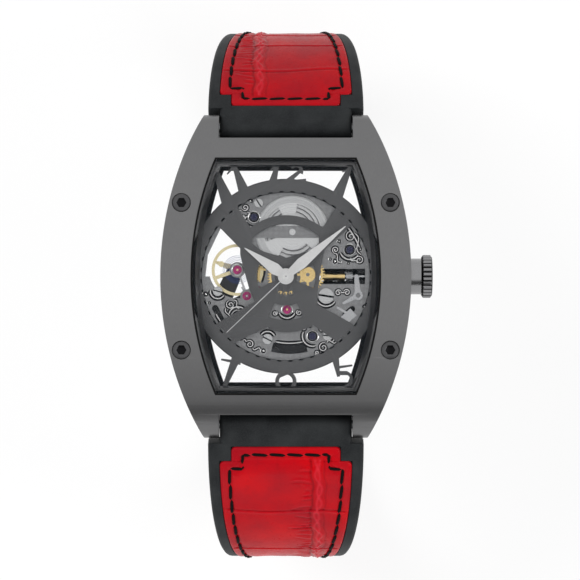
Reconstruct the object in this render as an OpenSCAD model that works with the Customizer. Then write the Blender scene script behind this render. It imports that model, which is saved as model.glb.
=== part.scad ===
/* [Case] */
// Width of the case across the middle
case_w = 42; // [40:0.5:44]
// Length from lug tip to lug tip
case_l = 54.7; // [53.5:0.1:56]
// Thickness of the case at its middle
case_h = 13.6; // [13.4:0.1:15]
// Plan radius of the two long flanks
flank_r = 55.5; // [54:0.1:58]
// Length of the case body between the lugs
body_l = 46.6; // [45.6:0.1:47]
// Gap between the two lugs of a pair
lug_gap = 22.6; // [21:0.1:23]
// Radius of the curved top of the case, seen from the side
top_r = 110; // [100:1:130]
// Distance from the middle at which the top bends down into the lugs
bend_y = 21; // [20:0.1:21.5]
// Radius of that bend
bend_r = 12; // [11.5:0.1:13]
// Radius of the lug tips, seen from the side
lug_r = 3.4; // [3:0.1:3.5]
// Thickness of the bezel plate
bezel_t = 2.4; // [1.8:0.1:2.6]
// Width of the bezel opening
open_w = 31.9; // [31:0.1:32.5]
// Length of the bezel opening
open_l = 39.9; // [39:0.1:40.4]
// Plan radius of the opening's two long sides
open_r = 50.8; // [49:0.1:54]
// Width of the black gasket round the crystal
gasket_w = 0.3; // [0.2:0.05:0.5]
// Thickness of the crystal
crystal_t = 1.5; // [1.2:0.1:1.7]
// Diameter of a bezel screw's head
bezel_screw_d = 3.0; // [2.4:0.1:3.2]

/* [Case back] */
// Thickness of the case back plate
back_t = 1.6; // [1.5:0.1:1.7]
// Width of its window
back_window_w = 29; // [27:0.1:29.4]
// Length of its window
back_window_l = 37.2; // [35:0.1:37.4]
// Thickness of its glass
back_glass_t = 0.7; // [0.5:0.1:0.8]

/* [Crown] */
// Diameter of the crown
crown_d = 7.3; // [6.6:0.1:7.8]
// Length of the crown's knurled head
crown_l = 1.8; // [1.5:0.1:2.5]
// Diameter of the neck between case and crown
neck_d = 6.1; // [5:0.1:6.4]
// Length of that neck outside the case
neck_l = 1.85; // [1.5:0.05:2.2]
// Number of grooves round the crown
crown_grooves = 28; // [20:1:32]
// Travel of the crown when it is pulled out
crown_travel = 1; // [0.6:0.1:1.1]

/* [Dial and hands] */
// Outer diameter of the dial ring
dial_d = 32.6; // [32.2:0.1:32.8]
// Inner diameter of the dial ring
dial_ring_d = 28.4; // [27.6:0.1:29]
// Thickness of the dial plate
dial_t = 0.4; // [0.3:0.05:0.5]
// Number of notches along the ring's inner edge
dial_notches = 48; // [36:1:60]
// Length of the hour hand
hour_hand_l = 8.45; // [7:0.1:10]
// Length of the minute hand
minute_hand_l = 13.1; // [11:0.1:13.4]
// Length of the seconds hand
seconds_hand_l = 13.7; // [11:0.1:14]

/* [Movement] */
// Diameter of the main plate
plate_d = 29.6; // [29:0.1:29.8]
// Thickness of the main plate
plate_t = 1; // [0.8:0.05:1]
// Outer radius of the balance rim
balance_r = 4.4; // [4:0.05:4.45]
// Outer radius of the rotor
rotor_r = 13.6; // [12.5:0.1:14]
// Angle that the rotor's weight spans
rotor_span = 170; // [140:5:180]

/* [Strap] */
// Width of the strap at its shoulders, beside the lugs
strap_w = 26.4; // [25:0.1:27]
// Width of the strap at the buckle and along the tail
strap_end_w = 19.6; // [18:0.1:20]
// Thickness of the strap beside the lugs
strap_t = 4.2; // [3.8:0.1:4.4]
// Thickness of the strap at the buckle and along the tail
strap_end_t = 2.8; // [2.4:0.1:3]
// Thickness of the leather inlay
inlay_t = 0.8; // [0.6:0.1:1]
// Height of the leather above the rubber
inlay_proud = 0.3; // [0.2:0.05:0.4]
// Rubber margin beside the leather
inlay_margin = 1.9; // [1.5:0.1:2.4]
// Radius of the first bend of the 12 o'clock half
bend_12 = 36; // [35:0.5:38]
// Radius of the first bend of the 6 o'clock half
bend_6 = 26.5; // [25:0.5:27]
// Number of adjustment holes
strap_holes = 7; // [5:1:8]
// Diameter of an adjustment hole
strap_hole_d = 2.4; // [2:0.1:2.8]
// Distance between adjustment holes
strap_hole_pitch = 6.5; // [5.5:0.1:7]

/* [Hidden] */
$fn = 96;

run_gap = 0.05;        // running clearance round an arbor
fit_gap = 0.1;         // clearance between a loose piece and its seat
tiny = 0.02;

// Heights of the layers, from the outer face of the case back at 0
band_z = 0.5;                              // underside of the case band
rotor_z = back_t + 0.35;
bridge_z = 3.95;
bridge_t = 1;
plate_z = case_h - 6.3;
plate_top = plate_z + plate_t;
motion_z = plate_top + 0.15;
dial_z = case_h - 4.3;
dial_top = dial_z + dial_t;
hour_z = dial_top + 0.4;
minute_z = hour_z + 0.35;
seconds_z = minute_z + 0.35;
hand_t = 0.15;
stem_z = plate_z - 1.1;
train_z = bridge_z + bridge_t;

// Side profile of the case: a shallow arc on top that bends down into the lugs
top_c = case_h - top_r;
bend_a = asin(bend_y / top_r);
bend_cy = (top_r - bend_r) * sin(bend_a);
bend_cz = top_c + (top_r - bend_r) * cos(bend_a);
lug_cy = case_l / 2 - lug_r;
lug_cz = bend_cz + sqrt(pow(bend_r - lug_r, 2) - pow(lug_cy - bend_cy, 2));
lug_a = atan2(lug_cy - bend_cy, lug_cz - bend_cz);
bar_y = case_l / 2 - 2.25;
bar_z = lug_cz - 0.5;
bar_r = 0.75;
strap_eye_r = 1.75;
foot_y = 22;

// Half width of a barrel-shaped outline at a distance y from the middle
function flank_x(half_w, r, y) = half_w - r + sqrt(r * r - y * y);

// Points of the top curve lowered by d, from the middle to the lug
function top_curve(d) = concat(
    [for (i = [0:20]) let (a = bend_a * i / 20) [(top_r - d) * sin(a), top_c + (top_r - d) * cos(a)]],
    [for (i = [1:9]) let (a = bend_a + (lug_a - bend_a) * i / 9)
        [bend_cy + (bend_r - d) * sin(a), bend_cz + (bend_r - d) * cos(a)]]);

// Points of a lug seen from the side, grown by g, from its top round to its foot
function foot_tangent(g) = let (
    dy = lug_cy - foot_y, dz = lug_cz - band_z, d = sqrt(dy * dy + dz * dz))
    atan2(dz, dy) - asin((lug_r + g) / d);
function lug_curve(g) = let (a0 = 90 - lug_a, a1 = foot_tangent(g) - 90)
    [for (i = [1:16]) let (a = a0 + (a1 - a0) * i / 16)
        [lug_cy + (lug_r + g) * cos(a), lug_cz + (lug_r + g) * sin(a)]];

// Continues half a profile over the middle to the other side
function arch(p) = concat([for (i = [len(p) - 1:-1:1]) [-p[i][0], p[i][1]]], p);

// Stands a profile drawn in (y, z) on edge and gives it a width along X
module across(width) rotate([90, 0, 90]) linear_extrude(height = width, center = true) children();

// Barrel-shaped outline with curved flanks and straight ends
module tonneau(w, l, r) intersection() {
    translate([w / 2 - r, 0]) circle(r = r, $fn = 360);
    translate([r - w / 2, 0]) circle(r = r, $fn = 360);
    square([w + 2, l], center = true);
}

module side_profile(d) polygon(arch(concat(top_curve(d), lug_curve(0), [[foot_y, band_z]])));

module case_plan() difference() {
    tonneau(case_w, case_l, flank_r);
    for (s = [-1, 1]) translate([0, s * (body_l + lug_gap) / 2])
        square([lug_gap, lug_gap], center = true);
}

module bezel_screw_places() for (x = [-1, 1], y = [-1, 1])
    translate([x * 17.5, y * 12.35, 0]) children();

module back_screw_places() for (x = [-1, 1], y = [-1, 1])
    translate([x * 9.5, y * (back_window_l / 2 + back_screw_out), 0]) children();

back_rim = 3.2;                            // width of the case back round its window
back_screw_out = 1.8;
cavity_w = open_w - 1.5;
cavity_l = open_l - 1.5;
bezel_seat_z = case_h - bezel_t;

// Everything above, or below, the curve that runs a depth d below the top
module split_at(d, z) across(case_w + 4) polygon(concat(arch(top_curve(d)), let (
    e = top_curve(d)[29][1]) [[case_l, e], [case_l, z], [-case_l, z], [-case_l, e]]));
module above(d) split_at(d, 2 * case_h);
module below(d) split_at(d, -2);

module case_middle() color("#6e6e70") difference() {
    intersection() {
        linear_extrude(height = case_h) case_plan();
        across(case_w + 2) side_profile(0);
        below(bezel_t);
    }
    translate([0, 0, -1]) linear_extrude(height = case_h + 1) {
        tonneau(cavity_w, cavity_l, open_r);
        circle(d = dial_d + 0.4);
    }
    translate([0, 0, -1]) linear_extrude(height = 1 + back_t) back_plan(0);
    for (s = [-1, 1]) {
        translate([0, s * bar_y, bar_z]) rotate([0, 90, 0]) {
            cylinder(r = strap_eye_r + 0.25, h = lug_gap, center = true);
            cylinder(r = bar_r, h = lug_gap + 3.4, center = true);
        }
    }
    bezel_screw_places() translate([0, 0, bezel_seat_z - 7]) cylinder(r = 0.8, h = 7);
    back_screw_places() translate([0, 0, 0.5]) cylinder(r = 0.5, h = 4.5);
    translate([0, 0, stem_z]) rotate([0, 90, 0]) {
        cylinder(r = 1.6, h = case_w);
        translate([0, 0, case_w / 2 - 0.3]) cylinder(d = neck_d, h = 5);
    }
}

module bezel() color("#77777a") difference() {
    intersection() {
        linear_extrude(height = case_h) case_plan();
        across(case_w + 2) side_profile(0);
        above(bezel_t);
    }
    linear_extrude(height = case_h + 1) tonneau(open_w, open_l, open_r);
    bezel_screw_places() {
        translate([0, 0, bezel_seat_z - 3]) cylinder(r = 0.8, h = case_h);
        translate([0, 0, bezel_screw_z()]) cylinder(d = bezel_screw_d + 0.2, h = case_h);
    }
}

function bezel_screw_z() = top_c + sqrt(top_r * top_r - 12.35 * 12.35) - 1.35;

module bezel_screws() color("#4c4c50") bezel_screw_places() translate([0, 0, bezel_screw_z()])
    difference() {
        union() {
            cylinder(d = bezel_screw_d, h = 1);
            translate([0, 0, -4]) cylinder(r = 0.75, h = 4 + tiny);
        }
        translate([0, 0, 0.45]) cylinder(d = bezel_screw_d * 0.56, h = 1, $fn = 6);
    }

module crystal_gasket() color("#151515") intersection() {
    linear_extrude(height = case_h) difference() {
        tonneau(open_w, open_l, open_r);
        tonneau(open_w - 2 * gasket_w, open_l - 2 * gasket_w, open_r - gasket_w);
    }
    below(0.1);
    above(crystal_t);
}

module crystal() color("#dfe8ee", 0.35) intersection() {
    linear_extrude(height = case_h)
        tonneau(open_w - 2 * gasket_w, open_l - 2 * gasket_w, open_r - gasket_w);
    below(0);
    above(crystal_t);
}

// Sloping wall between the crystal and the dial, a frame that narrows downward
module rehaut_ring() color("#6a6a6c") difference() {
    intersection() {
        translate([0, 0, dial_top]) linear_extrude(height = case_h)
            tonneau(cavity_w, cavity_l, open_r);
        below(crystal_t);
    }
    rehaut_hole();
}

rehaut_top_w = open_w - 2 * gasket_w - 0.5;
rehaut_top_l = open_l - 2 * gasket_w - 0.5;
rehaut_low_w = cavity_w - 1.4;
rehaut_low_l = cavity_l - 1.4;

module rehaut_hole() {
    z0 = dial_top - 1;
    h = case_h - z0;
    slope_w = (rehaut_top_w - rehaut_low_w) / 2;
    slope_l = (rehaut_top_l - rehaut_low_l) / 2;
    z1 = case_h - crystal_t;
    rise = z1 - dial_top;
    r0 = open_r;
    k0 = rehaut_low_w / 2 - slope_w * (dial_top - z0) / rise;
    k1 = k0 + slope_w * h / rise;
    l0 = rehaut_low_l / 2 - slope_l * (dial_top - z0) / rise;
    l1 = l0 + slope_l * h / rise;
    intersection() {
        translate([r0 - rehaut_low_w / 2, 0, z0])
            cylinder(r1 = k0 - rehaut_low_w / 2 + r0, r2 = k1 - rehaut_low_w / 2 + r0, h = h, $fn = 360);
        translate([rehaut_low_w / 2 - r0, 0, z0])
            cylinder(r1 = k0 - rehaut_low_w / 2 + r0, r2 = k1 - rehaut_low_w / 2 + r0, h = h, $fn = 360);
        across(case_w) polygon([[-l0, z0], [l0, z0], [l1, z0 + h], [-l1, z0 + h]]);
    }
}

module back_plan(d)
    tonneau(back_window_w + 2 * (back_rim - d), back_window_l + 2 * (back_rim - d), open_r - d);

module case_back() color("#8a8a8c") difference() {
    linear_extrude(height = back_t) back_plan(0.03);
    translate([0, 0, -1]) linear_extrude(height = 1 + back_glass_t)
        tonneau(back_window_w, back_window_l, open_r);
    linear_extrude(height = 4) tonneau(back_window_w - 1, back_window_l - 1, open_r - 0.5);
    translate([0, 0, back_t - 0.5]) linear_extrude(height = 4) difference() {
        back_plan(-1);
        back_plan(0.5);
    }
    back_screw_places() {
        translate([0, 0, -1]) cylinder(r = 0.5, h = 4);
        translate([0, 0, -1]) cylinder(r = 1.02, h = 1.7);
    }
}

module case_back_gasket() color("#151515") translate([0, 0, back_t - 0.5])
    linear_extrude(height = 0.5) difference() {
        back_plan(0.03);
        back_plan(0.5);
    }

module case_back_glass() color("#dfe8ee", 0.35) linear_extrude(height = back_glass_t)
    tonneau(back_window_w - 0.04, back_window_l - 0.04, open_r);

module case_back_screws() color("#9a9a9c") back_screw_places() difference() {
    union() {
        translate([0, 0, 0.1]) cylinder(r = 1, h = 0.6);
        cylinder(r = 0.48, h = 4.6);
    }
    translate([0, 0, 0.2]) cube([2.2, 0.3, 0.6], center = true);
}

module crown_tube() color("#a0a0a2") translate([0, 0, stem_z]) rotate([0, 90, 0]) difference() {
    union() {
        translate([0, 0, dial_d / 2 + 0.6]) cylinder(r = 1.6, h = case_w / 2 - dial_d / 2);
        translate([0, 0, case_w / 2 - 0.3]) cylinder(d = neck_d, h = neck_l + 0.3);
    }
    cylinder(r = stem_r + 0.08, h = case_w);
}

// Ring that holds the movement in the case, with a gap for the winding stem
module movement_ring() color("#3c3c3e") difference() {
    translate([0, 0, train_z]) linear_extrude(height = dial_z - train_z) difference() {
        circle(d = dial_d + 0.3);
        circle(d = plate_d + 0.1);
    }
    translate([0, 0, stem_z]) rotate([0, 90, 0]) cylinder(r = 1.2, h = case_w);
}

// Places of the train, as points in plan
barrel_c = [1.1, 7.5];
third_c = [0.2, -5.6];
escape_c = [-4.9, -2.3];
pallet_c = [-6.6, -3.3];
balance_c = [-8.2, 1.1];
minute_c = [3.7, 0.3];
crown_wheel_c = [8, 2];
lever_c = [12.2, -3.2];
click_c = [-6.3, 8.5];

// Tooth counts of wheels and pinions
barrel_n = 72;
center_pn = 12;
center_n = 64;
third_pn = 8;
third_n = 60;
fourth_pn = 8;
fourth_n = 60;
escape_pn = 6;
escape_n = 15;
cannon_n = 12;
minute_n = 36;
minute_pn = 10;
hour_n = 40;
crown_wheel_n = 22;
ratchet_n = 42;

// A pair's module follows from its centre distance
function module_of(d, n1, n2) = 2 * d / (n1 + n2);
barrel_m = module_of(norm(barrel_c), barrel_n, center_pn);
center_m = module_of(norm(third_c), center_n, third_pn);
third_m = module_of(norm(third_c), third_n, fourth_pn);
fourth_m = module_of(norm(escape_c), fourth_n, escape_pn);
cannon_m = module_of(norm(minute_c), cannon_n, minute_n);
hour_m = module_of(norm(minute_c), minute_pn, hour_n);
ratchet_m = module_of(norm(crown_wheel_c - barrel_c), crown_wheel_n, ratchet_n);

arbor_r = 0.15;
jewel_hole = arbor_r + run_gap;
center_tube_r = 0.36;
cannon_tube_r = 0.5;
hour_tube_r = 0.8;
barrel_arbor_r = 0.5;
stem_r = 0.5;
fourth_z = train_z + 0.2;
third_z = train_z + 0.65;
center_z = train_z + 1.2;
barrel_z = train_z + 1.5;
escape_z = train_z + 1.55;
rim_z = train_z + 0.55;
drum_top = plate_top - 0.2;
ratchet_z = bridge_z - 0.4;

// Hand positions, clockwise from 12 o'clock
hour_a = 304.5;
minute_a = 50;
seconds_a = 226.5;

function toward(p, q) = atan2(q[1] - p[1], q[0] - p[0]);

// Turn of gear B so that its teeth fill the gaps of gear A, which stands at phase a
function mesh(a, line, na, nb) = line + 180 + 180 / nb - (a - line) * na / nb;

// Outline of a gear: w is the half width of a tooth at its root and its tip, in pitches
function gear(n, m, a0, add, ded, w) = [for (i = [0:n - 1]) for (q = [
    [-ded, -w[0]], [0.25, 0.02 - w[0]], [add, -w[1]], [add, w[1]], [0.25, w[0] - 0.02], [-ded, w[0]]])
    let (a = a0 + (i + q[1]) * 360 / n, r = (n / 2 + q[0]) * m) [r * cos(a), r * sin(a)]];

module wheel_teeth(n, m, a0) polygon(gear(n, m, a0, 1.05, 1.3, [0.23, 0.07]));
module pinion_teeth(n, m, a0) polygon(gear(n, m, a0, 0.75, 1.35, [0.17, 0.08]));

// Toothed wheel with spokes
module spoked(n, m, a0, rim, hub_r, spokes, spoke_w) {
    r = n * m / 2 - 1.3 * m - rim;
    difference() {
        wheel_teeth(n, m, a0);
        circle(r = r);
    }
    circle(r = hub_r);
    for (i = [0:spokes - 1]) rotate(360 * i / spokes + 90) translate([0, -spoke_w / 2])
        square([r + 0.1, spoke_w]);
}

module at(p, z) translate([p[0], p[1], z]) children();
module layer(z, h) translate([0, 0, z]) linear_extrude(height = h) children();

brass = "#c9a24b";
steel = "#b9babc";
plate_color = "#9fa0a3";

module barrel() color("#c6c7c9") at(barrel_c, 0) difference() {
    union() {
        layer(barrel_z, 0.6)
            wheel_teeth(barrel_n, barrel_m, mesh(0, toward([0, 0], barrel_c), center_pn, barrel_n));
        layer(barrel_z, drum_top - barrel_z) circle(r = 5.9);
    }
    layer(barrel_z + 0.3, drum_top - barrel_z - 0.5) circle(r = 5.6);
    layer(barrel_z - 1, 5) circle(r = barrel_arbor_r + run_gap);
    layer(drum_top - 1, 2) for (a = [40, 160, 280]) rotate(a) arc_slot(3, 4.8, 80);
}

// Ring sector from radius r0 to r1 that spans an angle below 180 degrees
module arc_slot(r0, r1, span) intersection() {
    difference() {
        circle(r = r1);
        circle(r = r0);
    }
    polygon([[0, 0], 3 * r1 * [cos(span / 2), -sin(span / 2)], [3 * r1, 0],
        3 * r1 * [cos(span / 2), sin(span / 2)]]);
}

function spiral(r0, r1, turns, steps, t) = [for (i = [0:turns * steps])
    let (a = i * 360 / steps, r = r0 + (r1 - r0) * i / (turns * steps) + t) [r * cos(a), r * sin(a)]];
function spiral_band(r0, r1, turns, steps, t) = let (
    o = spiral(r0, r1, turns, steps, t / 2), b = spiral(r0, r1, turns, steps, -t / 2))
    concat(o, [for (i = [len(b) - 1:-1:0]) b[i]]);

module mainspring() color("#8e99a6") at(barrel_c, 0) layer(barrel_z + 0.4, 0.9)
    polygon(spiral_band(1.35, 5.4, 6, 24, 0.14));

module ratchet_wheel() color("#c6c7c9") at(barrel_c, 0) {
    layer(ratchet_z, 0.3) difference() {
        wheel_teeth(ratchet_n, ratchet_m,
            mesh(0, toward(crown_wheel_c, barrel_c), crown_wheel_n, ratchet_n));
        for (a = [0:72:288]) rotate(a) arc_slot(2.4, 4.7, 52);
    }
    layer(ratchet_z, plate_top + 0.1 - ratchet_z) circle(r = barrel_arbor_r);
    layer(barrel_z + 0.36, 0.98) circle(r = 1.2);
}

module crown_wheel() color("#c6c7c9") at(crown_wheel_c, 0) difference() {
    union() {
        layer(ratchet_z, 0.3) wheel_teeth(crown_wheel_n, ratchet_m, 0);
        layer(ratchet_z, 0.9) circle(r = 2.75);
    }
    layer(ratchet_z + 0.3, 2) circle(r = 2.2);
    layer(ratchet_z - 1, 4) circle(r = 0.8);
}

module click() color(steel) at(click_c, ratchet_z) difference() {
    linear_extrude(height = 0.25) union() {
        circle(r = 0.7);
        rotate(toward(click_c, barrel_c) - 70) polygon([[0, -0.6], [1.9, -0.15], [1.9, 0.15], [0, 0.6]]);
    }
    translate([0, 0, -1]) cylinder(r = 0.3, h = 3);
}

module center_wheel() color(brass) difference() {
    union() {
        layer(center_z, 0.2)
            spoked(center_n, center_m, mesh(0, toward(third_c, [0, 0]), third_pn, center_n),
                0.35, 0.9, 5, 0.35);
        layer(barrel_z - 0.05, 0.7) pinion_teeth(center_pn, barrel_m, 0);
        layer(center_z - 0.1, motion_z + 0.55 - center_z) circle(r = center_tube_r);
    }
    layer(0, 20) circle(r = arbor_r + run_gap);
}

module third_wheel() color(brass) at(third_c, 0) {
    layer(third_z, 0.2)
        spoked(third_n, third_m, mesh(0, toward([0, 0], third_c), fourth_pn, third_n),
            0.35, 0.9, 5, 0.35);
    layer(third_z, center_z + 0.35 - third_z) pinion_teeth(third_pn, center_m, 0);
    layer(bridge_z + 0.3, plate_top - 0.4 - bridge_z) circle(r = arbor_r);
}

module fourth_wheel() color(brass) {
    layer(fourth_z, 0.2) spoked(fourth_n, fourth_m, 0, 0.35, 0.8, 5, 0.3);
    layer(fourth_z, 0.8) pinion_teeth(fourth_pn, third_m, 0);
    layer(bridge_z + 0.55, seconds_z + hand_t - bridge_z - 0.55) circle(r = arbor_r);
}

escape_r = 1.66;
module escape_wheel() color(steel) at(escape_c, 0) {
    layer(escape_z, 0.15) difference() {
        polygon([for (i = [0:escape_n - 1]) for (q = [[escape_r - 0.45, 0], [escape_r, 0.35],
            [escape_r, 0.5], [escape_r - 0.4, 0.45]])
            let (a = (i + q[1]) * 360 / escape_n) [q[0] * cos(a), q[0] * sin(a)]]);
        for (a = [0:90:270]) rotate(a) arc_slot(0.45, 0.95, 60);
    }
    layer(fourth_z - 0.1, 0.4)
        pinion_teeth(escape_pn, fourth_m, mesh(0, toward([0, 0], escape_c), fourth_n, escape_pn));
    layer(bridge_z + 0.3, plate_top - 0.4 - bridge_z) circle(r = arbor_r);
}

// Lever with two pallet arms, its horns short of the balance's roller
module pallet_fork() color(steel) at(pallet_c, 0) {
    layer(escape_z, 0.15) rotate(toward(pallet_c, escape_c)) union() {
        circle(r = 0.4);
        for (s = [-1, 1]) polygon([[-0.2, 0], [0.25, 0], [0.15, s * 1.75], [-0.15, s * 1.75]]);
        rotate(toward(pallet_c, balance_c) - toward(pallet_c, escape_c))
            polygon([[0, -0.22], [3.4, -0.15], [3.55, -0.4], [3.7, -0.4], [3.65, 0.4], [3.5, 0.4],
                [3.4, 0.15], [0, 0.22]]);
    }
    layer(center_z + 0.05, plate_top - 0.3 - center_z) circle(r = arbor_r);
}

module balance_wheel() color("#d8bd6a") at(balance_c, 0) {
    layer(rim_z, 0.5) difference() {
        circle(r = balance_r);
        circle(r = balance_r - 0.5);
    }
    layer(rim_z + 0.1, 0.25) {
        circle(r = 0.7);
        for (a = [20, 200]) rotate(a) translate([0, -0.3]) square([balance_r - 0.3, 0.6]);
    }
    layer(escape_z - 0.1, 0.35) circle(r = 0.5);
    layer(bridge_z + 0.3, plate_top - 0.4 - bridge_z) circle(r = arbor_r);
}

stud_a = 200;           // where the hairspring's outer end is held, seen from the balance
stud_r = 2.65;
module hairspring() color("#5d6fa8") at(balance_c, 0) layer(train_z + 0.08, 0.2)
    rotate(stud_a) polygon(spiral_band(0.6, stud_r - 0.15, 7, 24, 0.06));

module regulator() color("#cdb36a") at(balance_c, 0) {
    layer(bridge_z - 0.3, 0.25) difference() {
        union() {
            circle(r = 1.3);
            rotate(160) polygon([[0, -0.7], [3.6, -0.3], [4.4, 0], [3.6, 0.3], [0, 0.7]]);
        }
        circle(r = 0.8 + run_gap);
    }
    layer(bridge_z - 0.3, 1.65) rotate(160) translate([2.95, 0]) circle(r = 0.5);
}

module cannon_pinion() color(steel) difference() {
    union() {
        layer(motion_z, 0.3) pinion_teeth(cannon_n, cannon_m, 0);
        layer(motion_z, minute_z + hand_t - motion_z) circle(r = cannon_tube_r);
    }
    layer(0, 20) circle(r = center_tube_r);
}

module minute_wheel() color(brass) at(minute_c, 0) difference() {
    union() {
        layer(motion_z + 0.05, 0.2)
            spoked(minute_n, cannon_m, mesh(0, toward([0, 0], minute_c), cannon_n, minute_n),
                0.3, 1.3, 4, 0.4);
        layer(motion_z + 0.05, 0.62) pinion_teeth(minute_pn, hour_m, 0);
    }
    layer(0, 20) circle(r = 0.25 + run_gap);
}

module hour_wheel() color(brass) difference() {
    union() {
        layer(motion_z + 0.4, 0.2)
            spoked(hour_n, hour_m, mesh(0, toward(minute_c, [0, 0]), minute_pn, hour_n), 0.3, 1.1, 6, 0.4);
        layer(motion_z + 0.35, hour_z + hand_t - motion_z - 0.35) circle(r = hour_tube_r);
    }
    layer(0, 20) circle(r = cannon_tube_r + run_gap);
}

// Tapered hand with a boss round its tube
module hand(l, w, z, tube_r, boss_r) layer(z, hand_t) difference() {
    union() {
        polygon([[w / 4, 0], [w / 2, l * 0.26], [0.06, l], [-0.06, l], [-w / 2, l * 0.26], [-w / 4, 0]]);
        circle(r = boss_r);
    }
    circle(r = tube_r);
}

module hour_hand() color("#dcdcdc") rotate([0, 0, -hour_a])
    hand(hour_hand_l, 2, hour_z, hour_tube_r, 1.35);
module minute_hand() color("#dcdcdc") rotate([0, 0, -minute_a])
    hand(minute_hand_l, 1.9, minute_z, cannon_tube_r, 1.1);
module seconds_hand() color("#dcdcdc") rotate([0, 0, -seconds_a]) layer(seconds_z, hand_t) difference() {
    union() {
        polygon([[0.22, -3], [0.07, 0], [0.04, seconds_hand_l],
            [-0.04, seconds_hand_l], [-0.07, 0], [-0.22, -3]]);
        circle(r = 0.7);
    }
    circle(r = arbor_r);
}

// Pivots that carry a jewel in the main plate
pivot_places = [third_c, escape_c, pallet_c, balance_c];
// Cap jewels set in the main plate's dial side
cap_places = [[-5.4, 10], [10.8, 4.5], [4.5, -10.1], [-8.1, -6.7]];
// Screws in the main plate's dial side, each with the radius of its head
screw_places = [[-4.6, 12.4, 0.75], [-3.1, -10.6, 0.85], [7.1, -10, 0.85], [-11.5, -2.5, 0.8],
    [6.8, -3.3, 1.3], [9.4, 8.2, 0.8]];
// Pillars between the bridges and the main plate
barrel_pillars = [[9.6, 9.4], [-7, 11.6]];
train_pillars = [[10.4, -7.9], [-2, -12.9], [12.6, -4.2]];
cock_pillars = [[-11.4, -6.6], [-9, -9.4]];
pallet_pillars = [[-8.8, -4.5], [-8, -5.9]];

module holes(list, r) for (p = list) translate([p[0], p[1]]) circle(r = r);

module main_plate_outline() difference() {
    circle(d = plate_d);
    translate(barrel_c) circle(r = 5.9 + 0.3);
    difference() {
        union() {
            translate(balance_c) circle(r = balance_r + 0.4);
            polygon([[-13.6, 0], [-13.2, 3.6], [-10.9, 8.4], [-8.6, 7.9], [-6.6, 4.5], [-8, 0]]);
        }
        translate(balance_c) circle(r = 1.3);
        translate(balance_c) rotate(25) translate([0, -0.6]) square([6, 1.2]);
        translate(escape_c) circle(r = 1.4);
        translate(pallet_c) circle(r = 1.1);
    }
    translate([5.2, -1.3]) square([8.2, 2.6]);
    translate([-11.4, -6.4]) rotate(-62) slot(3.4, 1.1);
    translate([-5.7, -8.6]) rotate(-35) slot(2.4, 1.3);
    translate([-4.9, -6.9]) circle(r = 0.8);
    translate([0.6, -0.3]) rotate(-90) arc_slot(11.2, 12.8, 28);
    translate([10.6, -6]) rotate(40) slot(2.6, 1);
    holes(pivot_places, 0.75);
    circle(r = center_tube_r + run_gap);
    holes(screw_places, 0.35);
}

module slot(l, w) {
    square([l - w, w], center = true);
    for (s = [-1, 1]) translate([s * (l - w) / 2, 0]) circle(d = w);
}

module main_plate() color(plate_color) difference() {
    union() {
        layer(plate_z, plate_t) main_plate_outline();
        layer(plate_top - 0.12, 0.24) intersection() {
            circle(d = plate_d - 1);
            translate([barrel_c[0], barrel_c[1]]) square([16, 2], center = true);
        }
        at(minute_c, plate_top - tiny) cylinder(r = 0.25, h = 0.8);
        at(lever_c, plate_top - tiny) cylinder(r = 0.35, h = 0.5);
    }
    at(barrel_c, 0) cylinder(r = barrel_arbor_r + run_gap, h = 20);
    for (p = cap_places) at(p, plate_top - 0.35) cylinder(r = 0.6, h = 1);
    for (p = screw_places) at(p, plate_top - 0.45) cylinder(r = p[2] + 0.06, h = 1);
}

module jewels() color("#c2406e") {
    for (p = pivot_places) at(p, 0) layer(plate_z + 0.2, 0.7) difference() {
        circle(r = 0.75);
        circle(r = jewel_hole);
    }
    for (p = [third_c, escape_c, balance_c]) at(p, 0) layer(bridge_z + 0.2, 0.6) difference() {
        circle(r = 0.75);
        circle(r = jewel_hole);
    }
    for (p = cap_places) at(p, plate_top - 0.35) cylinder(r = 0.6, h = 0.45);
}

module movement_screws() color("#8f9094") for (p = screw_places) at(p, 0) difference() {
    union() {
        layer(plate_top - 0.45, 0.5) circle(r = p[2]);
        layer(plate_z + 0.1, plate_t - 0.5) circle(r = 0.33);
    }
    at([0, 0], plate_top) rotate([0, 0, 35 + p[0] * 20])
        cube([2 * p[2] + 1, p[2] * 0.26, 0.4], center = true);
}

// One bridge: a plate with pillars that reach the main plate
module bridge(pillars) {
    difference() {
        layer(bridge_z, bridge_t) intersection() {
            circle(d = plate_d - 0.6);
            children();
        }
        layer(0, 20) holes([third_c, escape_c, balance_c], 0.75);
    }
    layer(train_z, plate_z - train_z) holes(pillars, 0.9);
}

module barrel_bridge() color(plate_color) difference() {
    bridge(barrel_pillars) difference() {
        polygon([[-8.4, 15], [-7.6, 4.4], [-4.6, 1.9], [3.2, 1.9], [4, -2.3], [14.8, -2.3], [14.8, 15]]);
        translate(barrel_c) for (a = [100, 190]) rotate(a) arc_slot(2.2, 4.6, 60);
    }
    at(barrel_c, 0) cylinder(r = barrel_arbor_r + run_gap, h = 20);
    at(crown_wheel_c, bridge_z - 1) difference() {
        cylinder(r = crown_wheel_n * ratchet_m / 2 + 0.4, h = 1.7);
        cylinder(r = 2.1, h = 1.7);
        cylinder(r = 0.74, h = 1.7);
    }
    at([5.2, 0], stem_z) rotate([0, 90, 0]) cylinder(r = 1.75, h = 7);
}

module train_bridge() color(plate_color) difference() {
    bridge(train_pillars) polygon([[-5.9, -1.2], [-6.3, -3.2], [-6.2, -4.9], [-5.45, -6.7], [-5.4, -15],
        [14.8, -15], [14.8, -2.4], [3.9, -2.4], [3.1, 1.8], [-4.6, 1.8]]);
    at([0, 0], bridge_z + 0.5) cylinder(r = jewel_hole, h = 3);
    at([0, 0], bridge_z - 1) cylinder(r = 0.8, h = 1.4);
    at([5.2, 0], stem_z) rotate([0, 90, 0]) cylinder(r = 1.75, h = 7);
}

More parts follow.
